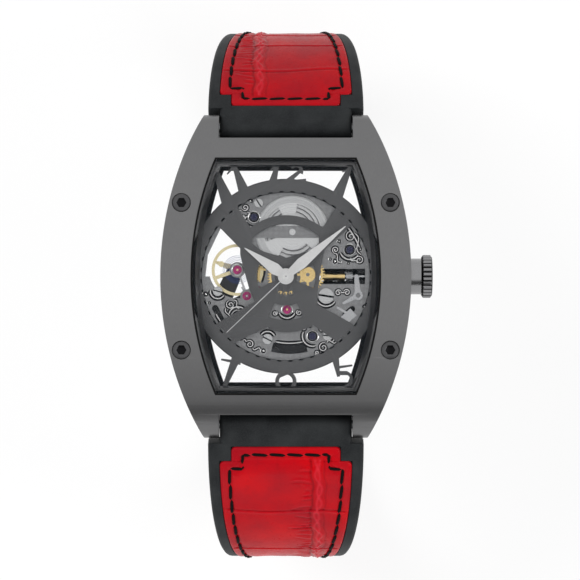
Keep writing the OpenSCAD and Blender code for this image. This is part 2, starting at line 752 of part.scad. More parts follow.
module balance_cock() color(plate_color) {
    bridge(cock_pillars) union() {
        polygon([[-14, -5.6], [-9.4, -4.6], [-7.3, 0.6], [-8.2, 1.1], [-9.9, 1.4], [-12.4, -3.6]]);
        polygon([[-14, -15], [-5.6, -15], [-5.95, -6.4], [-9.4, -4.7], [-14, -5.7]]);
        polygon([[-13.5, -6], [-9.6, -6], [-9.6, -4.4], [-12.8, -5.1]]);
        translate(balance_c) {
            circle(r = 1.3);
            rotate(stud_a) translate([0.9, -0.35]) square([stud_r - 0.55, 0.7]);
        }
    }
    at(balance_c, bridge_z - 0.35) difference() {
        cylinder(r = 0.8, h = 0.55);
        translate([0, 0, -1]) cylinder(r = 0.4, h = 3);
    }
    at(balance_c, 0) rotate([0, 0, stud_a]) layer(train_z - tiny, 0.4)
        translate([stud_r, 0]) square(0.4, center = true);
}

module pallet_bridge() color(plate_color) {
    layer(center_z - 0.08, 0.26) difference() {
        union() {
            translate(pallet_c) circle(r = 0.6);
            polygon([pallet_c + [0.4, -0.4], pallet_c + [-0.5, 0.4], pallet_pillars[0] + [-0.3, 0.7],
                pallet_pillars[1] + [-0.7, -0.3], pallet_pillars[1] + [0.6, -0.2]]);
            holes(pallet_pillars, 0.7);
        }
        translate(pallet_c) circle(r = jewel_hole);
    }
    layer(center_z + 0.1, plate_z - center_z - 0.1) holes(pallet_pillars, 0.45);
}

// Dial: a ring, four arms, an openworked centre and plain numerals beyond the ring
module dial_plate() color("#5c5c5e") layer(dial_z, dial_t) difference() {
    union() {
        difference() {
            circle(d = dial_d);
            circle(d = dial_ring_d);
        }
        dial_arm([-7.3, 4.3], [-5.6, 7.7], 143, 125);
        dial_arm([5.8, 7.6], [6.5, 4.6], 54, 38);
        dial_arm([-2.6, -8.3], [-5, -4.1], 231, 214);
        dial_arm([5, -4.6], [3.9, -7.7], -35, -51);
        dial_centre();
        intersection() {
            numerals();
            tonneau(cavity_w - 0.3, cavity_l - 0.3, open_r);
        }
    }
    circle(r = hour_tube_r + 0.15);
    for (i = [0:dial_notches - 1]) rotate(i * 360 / dial_notches + 3)
        translate([dial_ring_d / 2 - 0.3, -0.35]) square([0.52, 0.7]);
}

module dial_arm(p, q, a0, a1) {
    r = dial_ring_d / 2 + 0.6;
    m = (a0 + a1) / 2;
    polygon([p, q, r * [cos(a1), sin(a1)], r * [cos(m), sin(m)], r * [cos(a0), sin(a0)]]);
}

module dial_centre() difference() {
    intersection() {
        translate([0.1, 0.45]) circle(r = 9.85);
        polygon([[-7.7, 12], [-7.7, 3.7], [-7.4, 2.4], [-6.7, -0.2], [-6.2, -2], [-5.4, -4], [-2.9, -8.6],
            [-2.9, -10], [3.7, -10], [4.6, -7.9], [5.4, -5.5], [5.3, -3.2], [5.8, 0.9], [6.6, 5], [7.6, 12]]);
    }
    intersection() {
        translate([0.2, 0.75]) circle(r = 8.1);
        polygon([[-5.5, 10], [-5.8, 5.6], [-3.9, 4.2], [0, 3.1], [4.3, 4.4], [5.6, 5.6], [5.6, 10]]);
    }
    rotate(180) arc_slot(1.9, 4.9, 46);
    arc_slot(1.9, 5, 46);
    rotate(-90) arc_slot(4.9, 7.4, 46);
    for (a = [-72, -90, -108]) rotate(a) translate([3, 0]) circle(r = 0.42);
}

// Stroke that tapers from one width to another
module stroke(p, q, w0, w1) {
    d = (q - p) / norm(q - p);
    n = [-d[1], d[0]];
    polygon([p - n * w0 / 2, q - n * w1 / 2, q + n * w1 / 2, p + n * w0 / 2]);
}

module numerals() {
    stroke([-9.8, 12.6], [-12.4, 19.2], 2.2, 0.5);
    stroke([-7, 14.2], [-8.9, 19.2], 1.9, 0.5);
    stroke([-8.9, 18.4], [-9.9, 17.2], 0.5, 0.2);
    stroke([-2.2, 15.9], [-1.3, 19.2], 1.3, 0.5);
    stroke([-1.4, 18.9], [-2.6, 17.9], 0.5, 0.2);
    stroke([0.3, 16], [2.6, 17.9], 0.9, 0.5);
    translate([1.75, 17.7]) rotate(60) arc_slot(0.7, 1.2, 170);
    stroke([0.2, 16], [3.4, 16], 0.4, 0.9);
    stroke([8.6, 13.4], [11.2, 19.2], 2, 0.5);
    stroke([10.9, 18.2], [9.5, 17.6], 0.5, 0.2);
    stroke([-8.2, -13.4], [-10.6, -19.2], 1.6, 0.6);
    stroke([-7.6, -14.6], [-10.9, -14], 0.7, 0.3);
    translate([0, -17.7]) difference() {
        circle(r = 1.8);
        circle(r = 1.15);
    }
    stroke([1.4, -15.6], [-1.3, -16.9], 0.9, 0.6);
    stroke([8.3, -13.6], [8.9, -16.9], 1.3, 0.5);
    stroke([8.7, -16.3], [10.4, -16.3], 0.7, 0.7);
    translate([9.9, -17.4]) arc_slot(0.9, 1.45, 175);
    stroke([8.4, -15.4], [11.2, -15], 0.5, 0.3);
}

module setting_lever() color(steel) {
    layer(plate_top + 0.1, 0.25) difference() {
        union() {
            translate(lever_c) circle(r = 0.8);
            stroke(lever_c, [11.9, 0], 1.1, 0.7);
            translate([11.9, 0]) circle(r = 0.35);
            stroke(lever_c, [9.6, -4.6], 0.9, 0.4);
        }
        translate(lever_c) circle(r = 0.35 + run_gap);
    }
    at([11.9, 0], stem_z + stem_r + 0.05)
        cylinder(r = 0.22, h = plate_top + 0.2 - stem_z - stem_r);
}

module lever_spring() color("#c9cacc") {
    layer(plate_top, 0.12) difference() {
        union() {
            stroke([8.2, -8.9], [11.4, -6], 1.5, 1.6);
            translate([8.2, -8.9]) circle(r = 0.9);
            stroke([11, -6.6], [8.6, -5.2], 0.5, 0.3);
        }
        translate([8.2, -8.9]) circle(r = 0.3);
    }
    at([8.2, -8.9], plate_top - 0.5) cylinder(r = 0.3, h = 0.8);
}

stem_in = 5.9;
module winding_stem() color(steel) at([0, 0], stem_z) rotate([0, 90, 0]) difference() {
    translate([0, 0, stem_in]) cylinder(r = stem_r, h = case_w / 2 + neck_l + 0.6 - stem_in);
    translate([0, 0, 11.5]) difference() {
        cylinder(r = 1, h = 0.8);
        translate([0, 0, -1]) cylinder(r = 0.33, h = 3);
    }
}

module winding_pinion() color(steel) at([0, 0], stem_z) rotate([0, 90, 0])
    translate([0, 0, 10.2]) difference() {
        linear_extrude(height = 1.1) polygon(gear(16, 0.165, 0, 1, 1.2, [0.24, 0.14]));
        translate([0, 0, -1]) cylinder(r = stem_r + run_gap, h = 3);
    }

module sliding_pinion() color("#d6a94a") at([0, 0], stem_z) rotate([0, 90, 0]) difference() {
    union() {
        translate([0, 0, 6.4]) cylinder(r = 0.9, h = 1.6);
        translate([0, 0, 6.2]) cylinder(r = 0.75, h = 3.8);
        translate([0, 0, 8.7]) cylinder(r = 0.9, h = 1.3);
    }
    cylinder(r = stem_r + run_gap, h = 12);
}

module crown() color("#8d8e90") at([0, 0], stem_z) rotate([0, 90, 0])
    translate([0, 0, case_w / 2 + neck_l + fit_gap]) difference() {
        union() {
            cylinder(d = crown_d - 0.8, h = crown_l);
            translate([0, 0, 0.3]) cylinder(d = crown_d, h = crown_l - 0.6);
            cylinder(d1 = crown_d - 0.8, d2 = crown_d, h = 0.31);
            translate([0, 0, crown_l - 0.31]) cylinder(d1 = crown_d, d2 = crown_d - 0.8, h = 0.31);
        }
        for (i = [0:crown_grooves - 1]) rotate(i * 360 / crown_grooves)
            translate([crown_d / 2, 0, -1]) rotate(45) cube([0.36, 0.36, 2 * crown_l + 2], center = true);
        translate([0, 0, -1]) cylinder(r = stem_r, h = 1.4);
    }

module rotor_plate() color("#a9aaad") difference() {
    layer(rotor_z + 0.55, 0.3) union() {
        circle(r = 2.2);
        for (a = [-60 - rotor_span / 2 + 12, -60, -60 + rotor_span / 2 - 12])
            stroke([0, 0], (rotor_r - 2.2) * [cos(a), sin(a)], 2.4, 1.8);
    }
    cylinder(r = 0.8 + run_gap, h = 20);
}

module rotor_weight() color("#8b8c8f") difference() {
    layer(rotor_z, 1.3) rotate(-60) arc_slot(rotor_r - 3, rotor_r, rotor_span);
    layer(rotor_z + 0.55, 0.3) union() {
        circle(r = rotor_r - 2.4);
        for (a = [-60 - rotor_span / 2 + 12, -60, -60 + rotor_span / 2 - 12])
            stroke([0, 0], (rotor_r - 2.2) * [cos(a), sin(a)], 2.4, 1.8);
    }
}

module rotor_screw() color(steel) difference() {
    union() {
        layer(rotor_z + 0.15, 0.35) circle(r = 1.4);
        layer(rotor_z + 0.15, bridge_z + 0.35 - rotor_z - 0.15) circle(r = 0.8);
    }
    at([0, 0], rotor_z + 0.15) cube([3, 0.4, 0.3], center = true);
}

// Strap: each half is a centre line in (y, z) with straight and bent stretches.
// A stretch is [length, turn]; a turn bends the strap inward by so many degrees.
lead = 3;               // straight stretch beside the lugs
start_12 = -36.5;         // direction in which the 12 o'clock half leaves the lugs
start_6 = -14;
drop_12 = 8;            // upright stretch between the two bends
drop_6 = 7;
low_bend_12 = 19.5;
buckle_run = 6;         // straight stretch that ends at the buckle bar
tail_tip_y = 1;         // distance of the tail's tip from the middle of the watch
keeper_room = 3.1;      // room inside the keeper for the other half's tail
keeper_t = 1.1;
keeper_l = 3.8;
tongue_w = lug_gap - 0.2;
buckle_bar_r = 0.75;
buckle_eye_r = 1.5;
hinge_in = 3;           // how far each half can still swing inward
hinge_out_12 = 36;      // how far each half opens outward
hinge_out_6 = 12;

function bend_l(r, a) = r * a * PI / 180;
function moved(p, h, l, a, f) = a == 0 ? p + f * l * [cos(h), sin(h)]
    : p + l / (a * PI / 180) * [sin(h) - sin(h - a * f), cos(h - a * f) - cos(h)];
function run(p, h, s, st, k = 0) = k == len(st) ? [[p, h, s]] : let (
    l = st[k][0], a = st[k][1], n = a == 0 ? 2 : ceil(a / 4))
    concat([for (i = [0:n - 1]) [moved(p, h, l, a, i / n), h - a * i / n, s + l * i / n]],
        run(moved(p, h, l, a, 1), h - a, s + l, st, k + 1));
function place(s, p, h, st, k = 0) = let (l = st[k][0], a = st[k][1])
    s <= l || k == len(st) - 1 ? [moved(p, h, l, a, s / l), h - a * s / l]
    : place(s - l, moved(p, h, l, a, 1), h - a, st, k + 1);

bar_p = [bar_y, bar_z];
st_12 = [[lead, 0], [bend_l(bend_12, 90 + start_12), 90 + start_12], [drop_12, 0],
    [bend_l(low_bend_12, 90), 90], [buckle_run, 0]];
path_12 = run(bar_p, start_12, 0, st_12);
end_12 = path_12[len(path_12) - 1][0];
floor_z = end_12[1] - strap_end_t / 2 - keeper_room - keeper_t;

upper_6 = [[lead, 0], [bend_l(bend_6, 90 + start_6), 90 + start_6], [drop_6, 0]];
upper_path_6 = run(bar_p, start_6, 0, upper_6);
low_6 = upper_path_6[len(upper_path_6) - 1][0];
low_bend_6 = low_6[1] - floor_z - strap_end_t / 2 - inlay_proud;
st_6 = concat(upper_6, [[bend_l(low_bend_6, 90), 90], [low_6[0] - low_bend_6 - tail_tip_y, 0]]);
path_6 = run(bar_p, start_6, 0, st_6);

function upper_l(st) = st[0][0] + st[1][0] + st[2][0];
function total_l(st) = upper_l(st) + st[3][0] + st[4][0];

// Thickness of the strap at a distance s from the spring bar
function thick(s, st) = s < lead ? 2 * (strap_eye_r - 0.1) + (strap_t - 2 * strap_eye_r + 0.2) * s / lead
    : s < upper_l(st) ? strap_t + (strap_end_t - strap_t) * (s - lead) / (upper_l(st) - lead) : strap_end_t;

function side_of(q, d) = q[0] + d * [-sin(q[1]), cos(q[1])];
function stretch(path, s0, s1) = [for (q = path) if (q[2] > s0 - 0.01 && q[2] < s1 + 0.01) q];

// Profile between two surfaces, given as shares of the half thickness plus an offset
module band(path, st, s0, s1, low, high) {
    part = stretch(path, s0, s1);
    polygon(concat(
        [for (q = part) side_of(q, high[0] * thick(q[2], st) / 2 + high[1])],
        [for (i = [len(part) - 1:-1:0]) side_of(part[i], low[0] * thick(part[i][2], st) / 2 + low[1])]));
}

module lug_side(g) polygon(concat(
    [[lug_cy - 4, lug_cz + lug_r + g]], [[lug_cy, lug_cz + lug_r + g]], lug_curve(g),
    [[foot_y, band_z - g], [foot_y - 4, band_z - g]]));

module about_bar(a) translate(bar_p) rotate(a) translate(-bar_p) children();

// Tapered plan of a half, drawn across x and along the chord direction of its first bend
function taper_u(st) = let (h = st[1][1]) -(90 - h / 2);
function chord(p, a) = p[0] * cos(a) + p[1] * sin(a);
function half_w(f) = strap_w / 2 - (strap_w - strap_end_w) / 2 * pow(f, 1.7);
function taper_plan(path, st, d) = let (
    a = taper_u(st), u0 = chord(path[2][0], a) + 1,
    low = place(upper_l(st) - st[2][0], bar_p, path[0][1], st), u1 = chord(low[0], a))
    concat([[half_w(0) - d, u0 - 30]],
        [for (i = [0:8]) [half_w(i / 8) - d, u0 + (u1 - u0) * i / 8]],
        [[strap_end_w / 2 - d, u1 + 40]]);
module taper(path, st, d) rotate([taper_u(st), 0, 0]) linear_extrude(height = 200, center = true)
    polygon(both_x(taper_plan(path, st, d)));
function both_x(p) = concat(p, [for (i = [len(p) - 1:-1:0]) [-p[i][0], p[i][1]]]);

inlay_start = lead + 0.3;
inlay_step_w = 18.6;
inlay_full = inlay_start + 2.4;

module inlay_solid(path, st, s_end, g) {
    a = taper_u(st);
    step_u = chord(place(inlay_full, bar_p, path[0][1], st)[0], a) - 0.9;
    intersection() {
        across(strap_w)
            band(path, st, inlay_start, upper_l(st), [1, inlay_proud - inlay_t], [1, inlay_proud + g]);
        taper(path, st, inlay_margin);
        rotate([a, 0, 0]) linear_extrude(height = 200, center = true) {
            translate([0, step_u + 100]) square([strap_w, 200], center = true);
            translate([0, step_u]) square([inlay_step_w, 20], center = true);
        }
    }
    across(strap_end_w - 2 * inlay_margin)
        band(path, st, upper_l(st), s_end, [1, inlay_proud - inlay_t], [1, inlay_proud + g]);
}

// Half of a strap, cut back at the shoulders so that it clears the lugs wherever it swings
module strap_solid(path, st, outward) {
    intersection() {
        union() {
            across(tongue_w) {
                band(path, st, 0, upper_l(st), [-1, 0], [1, 0]);
                translate(bar_p) circle(r = strap_eye_r);
            }
            across(strap_w) difference() {
                band(path, st, 0, upper_l(st), [-1, 0], [1, 0]);
                translate(bar_p) circle(r = 2.75);
                for (a = [hinge_in:-3:-outward]) about_bar(a) lug_side(0.2);
            }
        }
        taper(path, st, 0);
    }
    across(strap_end_w) band(path, st, upper_l(st), total_l(st), [-1, 0], [1, 0]);
}

module bar_hole() translate([0, bar_y, bar_z]) rotate([0, 90, 0])
    cylinder(r = bar_r + 0.03, h = strap_w + 2, center = true);

inlay_end_12 = total_l(st_12) - buckle_run - 3;
inlay_end_6 = total_l(st_6) - 9;

module strap_12() color("#1c1c1e") difference() {
    union() {
        strap_solid(path_12, st_12, hinge_out_12);
        across(strap_end_w) translate(end_12) circle(r = buckle_eye_r);
    }
    bar_hole();
    inlay_solid(path_12, st_12, inlay_end_12, 1);
    translate([0, end_12[0], end_12[1]]) {
        rotate([0, 90, 0]) cylinder(r = buckle_bar_r + run_gap, h = strap_w, center = true);
        cube([2.6, 6, 6], center = true);
    }
}

module strap_12_inlay() color("#b5121e") inlay_solid(path_12, st_12, inlay_end_12, 0);

module hole_places() for (i = [0:strap_holes - 1]) {
    q = place(total_l(st_6) - 20 - i * strap_hole_pitch, bar_p, start_6, st_6);
    translate([0, q[0][0], q[0][1]]) rotate([q[1], 0, 0]) cylinder(d = strap_hole_d, h = 12, center = true);
}

module tail_plan() translate([0, 0, floor_z - 5]) linear_extrude(height = 80) {
    translate([-strap_w, tail_tip_y + 9]) square([2 * strap_w, 80]);
    translate([0, tail_tip_y + 12]) circle(r = 12);
}

module strap_6() color("#1c1c1e") mirror([0, 1, 0]) difference() {
    intersection() {
        strap_solid(path_6, st_6, hinge_out_6);
        tail_plan();
    }
    bar_hole();
    inlay_solid(path_6, st_6, inlay_end_6, 1);
    hole_places();
}

module strap_6_inlay() color("#b5121e") mirror([0, 1, 0]) difference() {
    inlay_solid(path_6, st_6, inlay_end_6, 0);
    hole_places();
}

module spring_bar() translate([0, bar_y, bar_z]) rotate([0, 90, 0]) {
    cylinder(r = bar_r - 0.03, h = lug_gap + 3.2, center = true);
}
module spring_bar_12() color(steel) spring_bar();
module spring_bar_6() color(steel) mirror([0, 1, 0]) spring_bar();

// Rubber loop fixed round the 12 o'clock half, with room for the other half's tail
module keeper() color("#1c1c1e") translate([0, end_12[0] + 2.4, 0]) rotate([90, 0, 0])
    translate([0, 0, -keeper_l]) linear_extrude(height = keeper_l) difference() {
        translate([-strap_end_w / 2 - keeper_t, floor_z]) square([strap_end_w + 2 * keeper_t,
            strap_end_t + keeper_room + 2 * keeper_t + 0.05]);
        translate([-strap_end_w / 2 - 0.05, floor_z + keeper_t]) square([strap_end_w + 0.1,
            strap_end_t + keeper_room + 0.05]);
    }

buckle_l = 7.4;
buckle_wall = 1.9;
module buckle_frame() color("#8d8e90") translate([0, end_12[0], end_12[1]]) difference() {
    union() {
        for (s = [-1, 1]) translate([s * (strap_end_w / 2 + 0.15 + buckle_wall / 2), 0, 0])
            across(buckle_wall) {
                circle(r = 1.5);
                polygon([[0, -1.48], [0, 1.48], [-buckle_l, 0.2], [-buckle_l, -1.9]]);
            }
        across(strap_end_w + 0.3 + 2 * buckle_wall)
            polygon([[-buckle_l, -1.9], [2.2 - buckle_l, -1.9], [2.2 - buckle_l, 0], [-buckle_l, 0]]);
    }
    rotate([0, 90, 0]) cylinder(r = buckle_bar_r, h = strap_w + 8, center = true);
}

module buckle_bar() color(steel) translate([0, end_12[0], end_12[1]]) rotate([0, 90, 0])
    cylinder(r = buckle_bar_r, h = strap_end_w + 0.3 + 2 * buckle_wall, center = true);

module buckle_tongue() color("#8d8e90") translate([0, end_12[0], end_12[1]]) difference() {
    across(2) {
        circle(r = 1.4);
        polygon([[0.4, -1.3], [-1.4, 0.3], [-4.6, -1.9], [-buckle_l - 0.6, -2.05], [-buckle_l - 0.6, -2.95],
            [-4.6, -2.8]]);
    }
    rotate([0, 90, 0]) cylinder(r = buckle_bar_r + run_gap, h = 8, center = true);
}

case_middle();
bezel();
bezel_screws();
crystal_gasket();
crystal();
rehaut_ring();
case_back();
case_back_gasket();
case_back_glass();
case_back_screws();
crown_tube();
movement_ring();
dial_plate();
hour_hand();
minute_hand();
seconds_hand();
main_plate();
barrel_bridge();
train_bridge();
balance_cock();
pallet_bridge();
jewels();
movement_screws();
barrel();
mainspring();
ratchet_wheel();
crown_wheel();
click();
center_wheel();
third_wheel();
fourth_wheel();
escape_wheel();
pallet_fork();
balance_wheel();
hairspring();
regulator();
cannon_pinion();
minute_wheel();
hour_wheel();
crown();
winding_stem();
winding_pinion();
sliding_pinion();
setting_lever();
lever_spring();
rotor_weight();
rotor_plate();
rotor_screw();
spring_bar_12();
spring_bar_6();
strap_12();
strap_12_inlay();
strap_6();
strap_6_inlay();
keeper();
buckle_frame();
buckle_bar();
buckle_tongue();
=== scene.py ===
import math

import bmesh
import bpy
import numpy as np
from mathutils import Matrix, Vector


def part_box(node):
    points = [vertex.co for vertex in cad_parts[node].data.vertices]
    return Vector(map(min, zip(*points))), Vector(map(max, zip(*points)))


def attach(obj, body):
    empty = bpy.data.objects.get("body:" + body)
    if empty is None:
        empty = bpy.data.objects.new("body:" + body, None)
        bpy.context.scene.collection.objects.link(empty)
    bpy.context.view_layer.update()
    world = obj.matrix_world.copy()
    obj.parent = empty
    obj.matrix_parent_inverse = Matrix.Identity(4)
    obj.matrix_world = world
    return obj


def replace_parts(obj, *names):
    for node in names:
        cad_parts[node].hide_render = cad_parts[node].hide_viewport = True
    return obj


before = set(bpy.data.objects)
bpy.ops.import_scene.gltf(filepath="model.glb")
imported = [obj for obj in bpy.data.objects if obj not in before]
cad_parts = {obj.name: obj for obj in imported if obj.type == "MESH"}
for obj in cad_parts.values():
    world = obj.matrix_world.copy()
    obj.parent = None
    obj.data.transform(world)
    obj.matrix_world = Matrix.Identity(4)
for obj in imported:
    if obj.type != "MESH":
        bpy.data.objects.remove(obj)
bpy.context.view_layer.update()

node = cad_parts


# Studio: a pale table under a watch that stands on its strap, a white surround and
# three soft lamps. The camera looks straight down on the dial.
LOOK_AT = np.array((0.0007, -0.0023, 0.0130))
CAMERA_AWAY = 0.5
CAMERA_FIELD = math.radians(11.09)
WHITE = (1, 1, 1, 1)
ROOM_LIGHT = 0.62  # the surround's strength as a lamp
TABLE_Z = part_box("keeper")[0].z - 0.0004  # a little under the keeper
TABLE_REACH = 3.0
TABLE_WHITE = (0.86, 0.86, 0.86, 1)
TABLE_GLOW = 0.8  # share of its own light where it is seen


def adder(tree):
    """A function that adds a node to the tree and sets its sockets."""
    def add(kind, values=None, **settings):
        made = tree.nodes.new(kind)
        for key, value in settings.items():
            setattr(made, key, value)
        for key, value in (values or {}).items():
            if isinstance(value, bpy.types.NodeSocket):
                tree.links.new(value, made.inputs[key])
            else:
                made.inputs[key].default_value = value
        return made
    return add


def shader_tree(tree):
    """Empties a node tree and returns its adder."""
    tree.nodes.clear()
    return adder(tree)


def maths(add, operation, *values):
    """The result of one operation on numbers or sockets."""
    return add("ShaderNodeMath", dict(enumerate(values)), operation=operation).outputs[0]


def seen_directly(add):
    """1 where a camera, glossy or transmission ray arrives, so that all three see white."""
    path = add("ShaderNodeLightPath").outputs
    first = maths(add, "MAXIMUM", path["Is Camera Ray"], path["Is Glossy Ray"])
    return maths(add, "MAXIMUM", first, path["Is Transmission Ray"])


scene = bpy.context.scene
scene.view_settings.view_transform = "Standard"
world = bpy.data.worlds.new("studio")
world.use_nodes = True
scene.world = world
add = shader_tree(world.node_tree)
room = add("ShaderNodeBackground", {"Color": WHITE, "Strength": ROOM_LIGHT})
white = add("ShaderNodeBackground", {"Color": WHITE, "Strength": 1.0})
mixed = add("ShaderNodeMixShader", {0: seen_directly(add), 1: room.outputs[0], 2: white.outputs[0]})
add("ShaderNodeOutputWorld", {"Surface": mixed.outputs[0]})

camera = bpy.data.objects.new("camera", bpy.data.cameras.new("camera"))
camera.data.angle = CAMERA_FIELD
camera.location = LOOK_AT + (0, 0, CAMERA_AWAY)
scene.collection.objects.link(camera)
scene.camera = camera


def softbox(name, place, size, power, mirrored=False):
    """A square area lamp that shines at the watch; metal shows it only if mirrored."""
    lamp = bpy.data.lights.new(name, "AREA")
    lamp.size = size
    lamp.energy = power
    body = bpy.data.objects.new(name, lamp)
    body.visible_glossy = mirrored
    body.location = place
    body.rotation_mode = "QUATERNION"
    body.rotation_quaternion = (Vector() - Vector(place)).to_track_quat("-Z", "Y")
    scene.collection.objects.link(body)


softbox("lamp_left", (-0.45, 0.25, 0.55), 0.35, 3.2)
softbox("lamp_right", (0.5, -0.1, 0.45), 0.3, 1.6, mirrored=True)
softbox("lamp_low", (0.0, -0.6, 0.25), 0.35, 1.2)


def sheet(name, paint, reach, first, last):
    """A flat sheet that reaches as far to both sides, between edges at two points (y, z).
    Returns it and the node adder of its material."""
    (y0, z0), (y1, z1) = first, last
    mesh = bpy.data.meshes.new(name)
    mesh.from_pydata([(-reach, y0, z0), (reach, y0, z0), (reach, y1, z1), (-reach, y1, z1)], [],
                     [(0, 1, 2, 3)])
    body = bpy.data.objects.new(name, mesh)
    scene.collection.objects.link(body)
    made = bpy.data.materials.new(paint)
    made.use_nodes = True
    mesh.materials.append(made)
    return body, shader_tree(made.node_tree)


table, add = sheet("table", "table_white", TABLE_REACH, (-TABLE_REACH, TABLE_Z), (TABLE_REACH, TABLE_Z))
lit = add("ShaderNodeBsdfDiffuse", {"Color": TABLE_WHITE})
glow = add("ShaderNodeEmission", {"Color": WHITE, "Strength": 1.0})
share = maths(add, "MULTIPLY", seen_directly(add), TABLE_GLOW)
mixed = add("ShaderNodeMixShader", {0: share, 1: lit.outputs[0], 2: glow.outputs[0]})
add("ShaderNodeOutputMaterial", {"Surface": mixed.outputs[0]})

# A black flag hangs above the 6 o'clock side, seen only by polished surfaces, and darkens
# part of each. It fades to white towards its upper edge, so that no hard line shows in them.
FLAG_REACH, FLAG_UPPER, FLAG_LOWER = 0.4, (-0.15, 0.42), (-0.44, 0.30)
FLAG_FADE = -0.24  # y where the fade begins
FLAG_BLACK = 0.12
flag, add = sheet("flag", "flag_black", FLAG_REACH, FLAG_UPPER, FLAG_LOWER)
flag.visible_camera = flag.visible_shadow = flag.visible_diffuse = flag.visible_transmission = False
depth = add("ShaderNodeSeparateXYZ", {0: add("ShaderNodeTexCoord").outputs["Object"]}).outputs["Y"]
soft = add("ShaderNodeMapRange", {0: depth, 1: FLAG_FADE, 2: FLAG_UPPER[0], 3: FLAG_BLACK, 4: 1.0})
dim = add("ShaderNodeEmission", {"Color": WHITE, "Strength": soft.outputs[0]})
add("ShaderNodeOutputMaterial", {"Surface": dim.outputs[0]})

# A white card lies under the case, as behind the photographed watch, so that the empty
# places of the dial read white. It shines up only, and casts no shadow.
CARD_Z = -0.00005  # just below the case back
CARD_REACH, CARD_LENGTH, CARD_LIGHT = 0.0155, 0.04, 1.1
card, add = sheet("card", "card_white", CARD_REACH, (-CARD_LENGTH / 2, CARD_Z), (CARD_LENGTH / 2, CARD_Z))
card.visible_shadow = card.visible_diffuse = False
glow = add("ShaderNodeEmission", {"Color": WHITE, "Strength": CARD_LIGHT})
clear = add("ShaderNodeBsdfTransparent")
mixed = add("ShaderNodeMixShader", {0: add("ShaderNodeNewGeometry").outputs["Backfacing"],
                                    1: glow.outputs[0], 2: clear.outputs[0]})
add("ShaderNodeOutputMaterial", {"Surface": mixed.outputs[0]})


# Main plate and bridges: the grey metal skeleton that carries every wheel. Milled from
# nickel-plated brass, circular-grained all over and cut through where nothing turns.
MM = 0.001
WELD = 1e-6  # points nearer than this are one, in metres
PLATE_GREY = (0.255, 0.257, 0.262)
PLATE_SHADE_R = 14.16  # outside it the plate is painted black, as shade under the dial's ring
# The bridges lie under the plate: their grey is painted dark, as the shade that shows through the plate's
# openings.
BRIDGE_SHADE_GREY = (0.045, 0.045, 0.047)
FROM_CENTRE = ("reach", (0, 0, 0), (1, 1, 0.001))  # distance from the watch's axis
HEIGHT = ("Z", (0, 0, 0), (1, 1, 1))  # height over the case back


def surface_material(name, color, rough, metallic=1.0, **sockets):
    """A material whose colour is set; returns its node adder, shader and material."""
    made = bpy.data.materials.new(name)
    made.use_nodes = True
    made.diffuse_color = (*color, 1)
    add = shader_tree(made.node_tree)
    shader = add("ShaderNodeBsdfPrincipled", {"Base Color": (*color, 1), "Roughness": rough,
                                              "Metallic": metallic, **sockets})
    add("ShaderNodeOutputMaterial", {"Surface": shader.outputs[0]})
    return add, shader, made


def link(value, shader, socket):
    """Joins an output socket to one of the shader's inputs."""
    shader.id_data.links.new(value, shader.inputs[socket])


def object_space(add, scale=(1, 1, 1), centre=(0, 0, 0), turn=(0, 0, 0)):
    """Object coordinates in millimetres, moved, turned and stretched for a pattern."""
    place = add("ShaderNodeTexCoord").outputs["Object"]
    moved = add("ShaderNodeVectorMath", {0: place, 1: [-v * MM for v in centre]}, operation="ADD")
    return add("ShaderNodeMapping", {"Vector": moved.outputs[0], "Rotation": turn,
                                     "Scale": [v * 1000 for v in scale]}).outputs[0]


def noise(add, scale, detail, where=None, **sockets):
    """Cloudy noise whose lumps are about 1 / scale mm wide, unless where stretches them."""
    where = object_space(add) if where is None else where
    return add("ShaderNodeTexNoise", {"Vector": where, "Scale": scale, "Detail": detail,
                                      **sockets}).outputs["Fac"]


def span(add, value, low, high, from_low=0.0, from_high=1.0):
    """Maps a value's range onto another one, clamped."""
    return add("ShaderNodeMapRange", {0: value, 1: from_low, 2: from_high, 3: low, 4: high}).outputs[0]


def between(add, share, first, second):
    """Mixes two colours by a share."""
    first, second = (color if isinstance(color, bpy.types.NodeSocket) else (*color, 1)
                     for color in (first, second))
    return add("ShaderNodeMix", {0: share, 6: first, 7: second}, data_type="RGBA").outputs[2]


def shade(color, share):
    """A colour made darker or lighter."""
    return [min(1, c * share) for c in color]


def textured(add, shader, height, strength, depth):
    """Gives the shader a bump of this depth in mm."""
    bump = add("ShaderNodeBump", {"Height": height, "Strength": strength, "Distance": depth * MM})
    link(bump.outputs[0], shader, "Normal")


def grained(name, color, rough, contrast=0.2, depth=0.003, stretch=(3, 3, 3), spread=0.12,
            metallic=1.0, blotch=0.12, **sockets):
    """Metal with a fine grain: stretched noise moves colour, roughness and height a little,
    and a second noise a few millimetres wide makes the plating uneven."""
    add, shader, made = surface_material(name, color, rough, metallic, **sockets)
    fine = noise(add, 6.0, 4.0, object_space(add, stretch), Roughness=0.6)
    wide = noise(add, 0.35, 3.0)
    ground = between(add, span(add, fine, 0, 1, 0.25, 0.75),
                     shade(color, 1 - contrast), shade(color, 1 + contrast))
    worn = between(add, span(add, wide, 0, blotch, 0.35, 0.7), ground, shade(color, 1.5))
    link(worn, shader, "Base Color")
    link(span(add, fine, max(0.03, rough - spread), rough + spread), shader, "Roughness")
    textured(add, shader, fine, 0.6, depth)
    return made


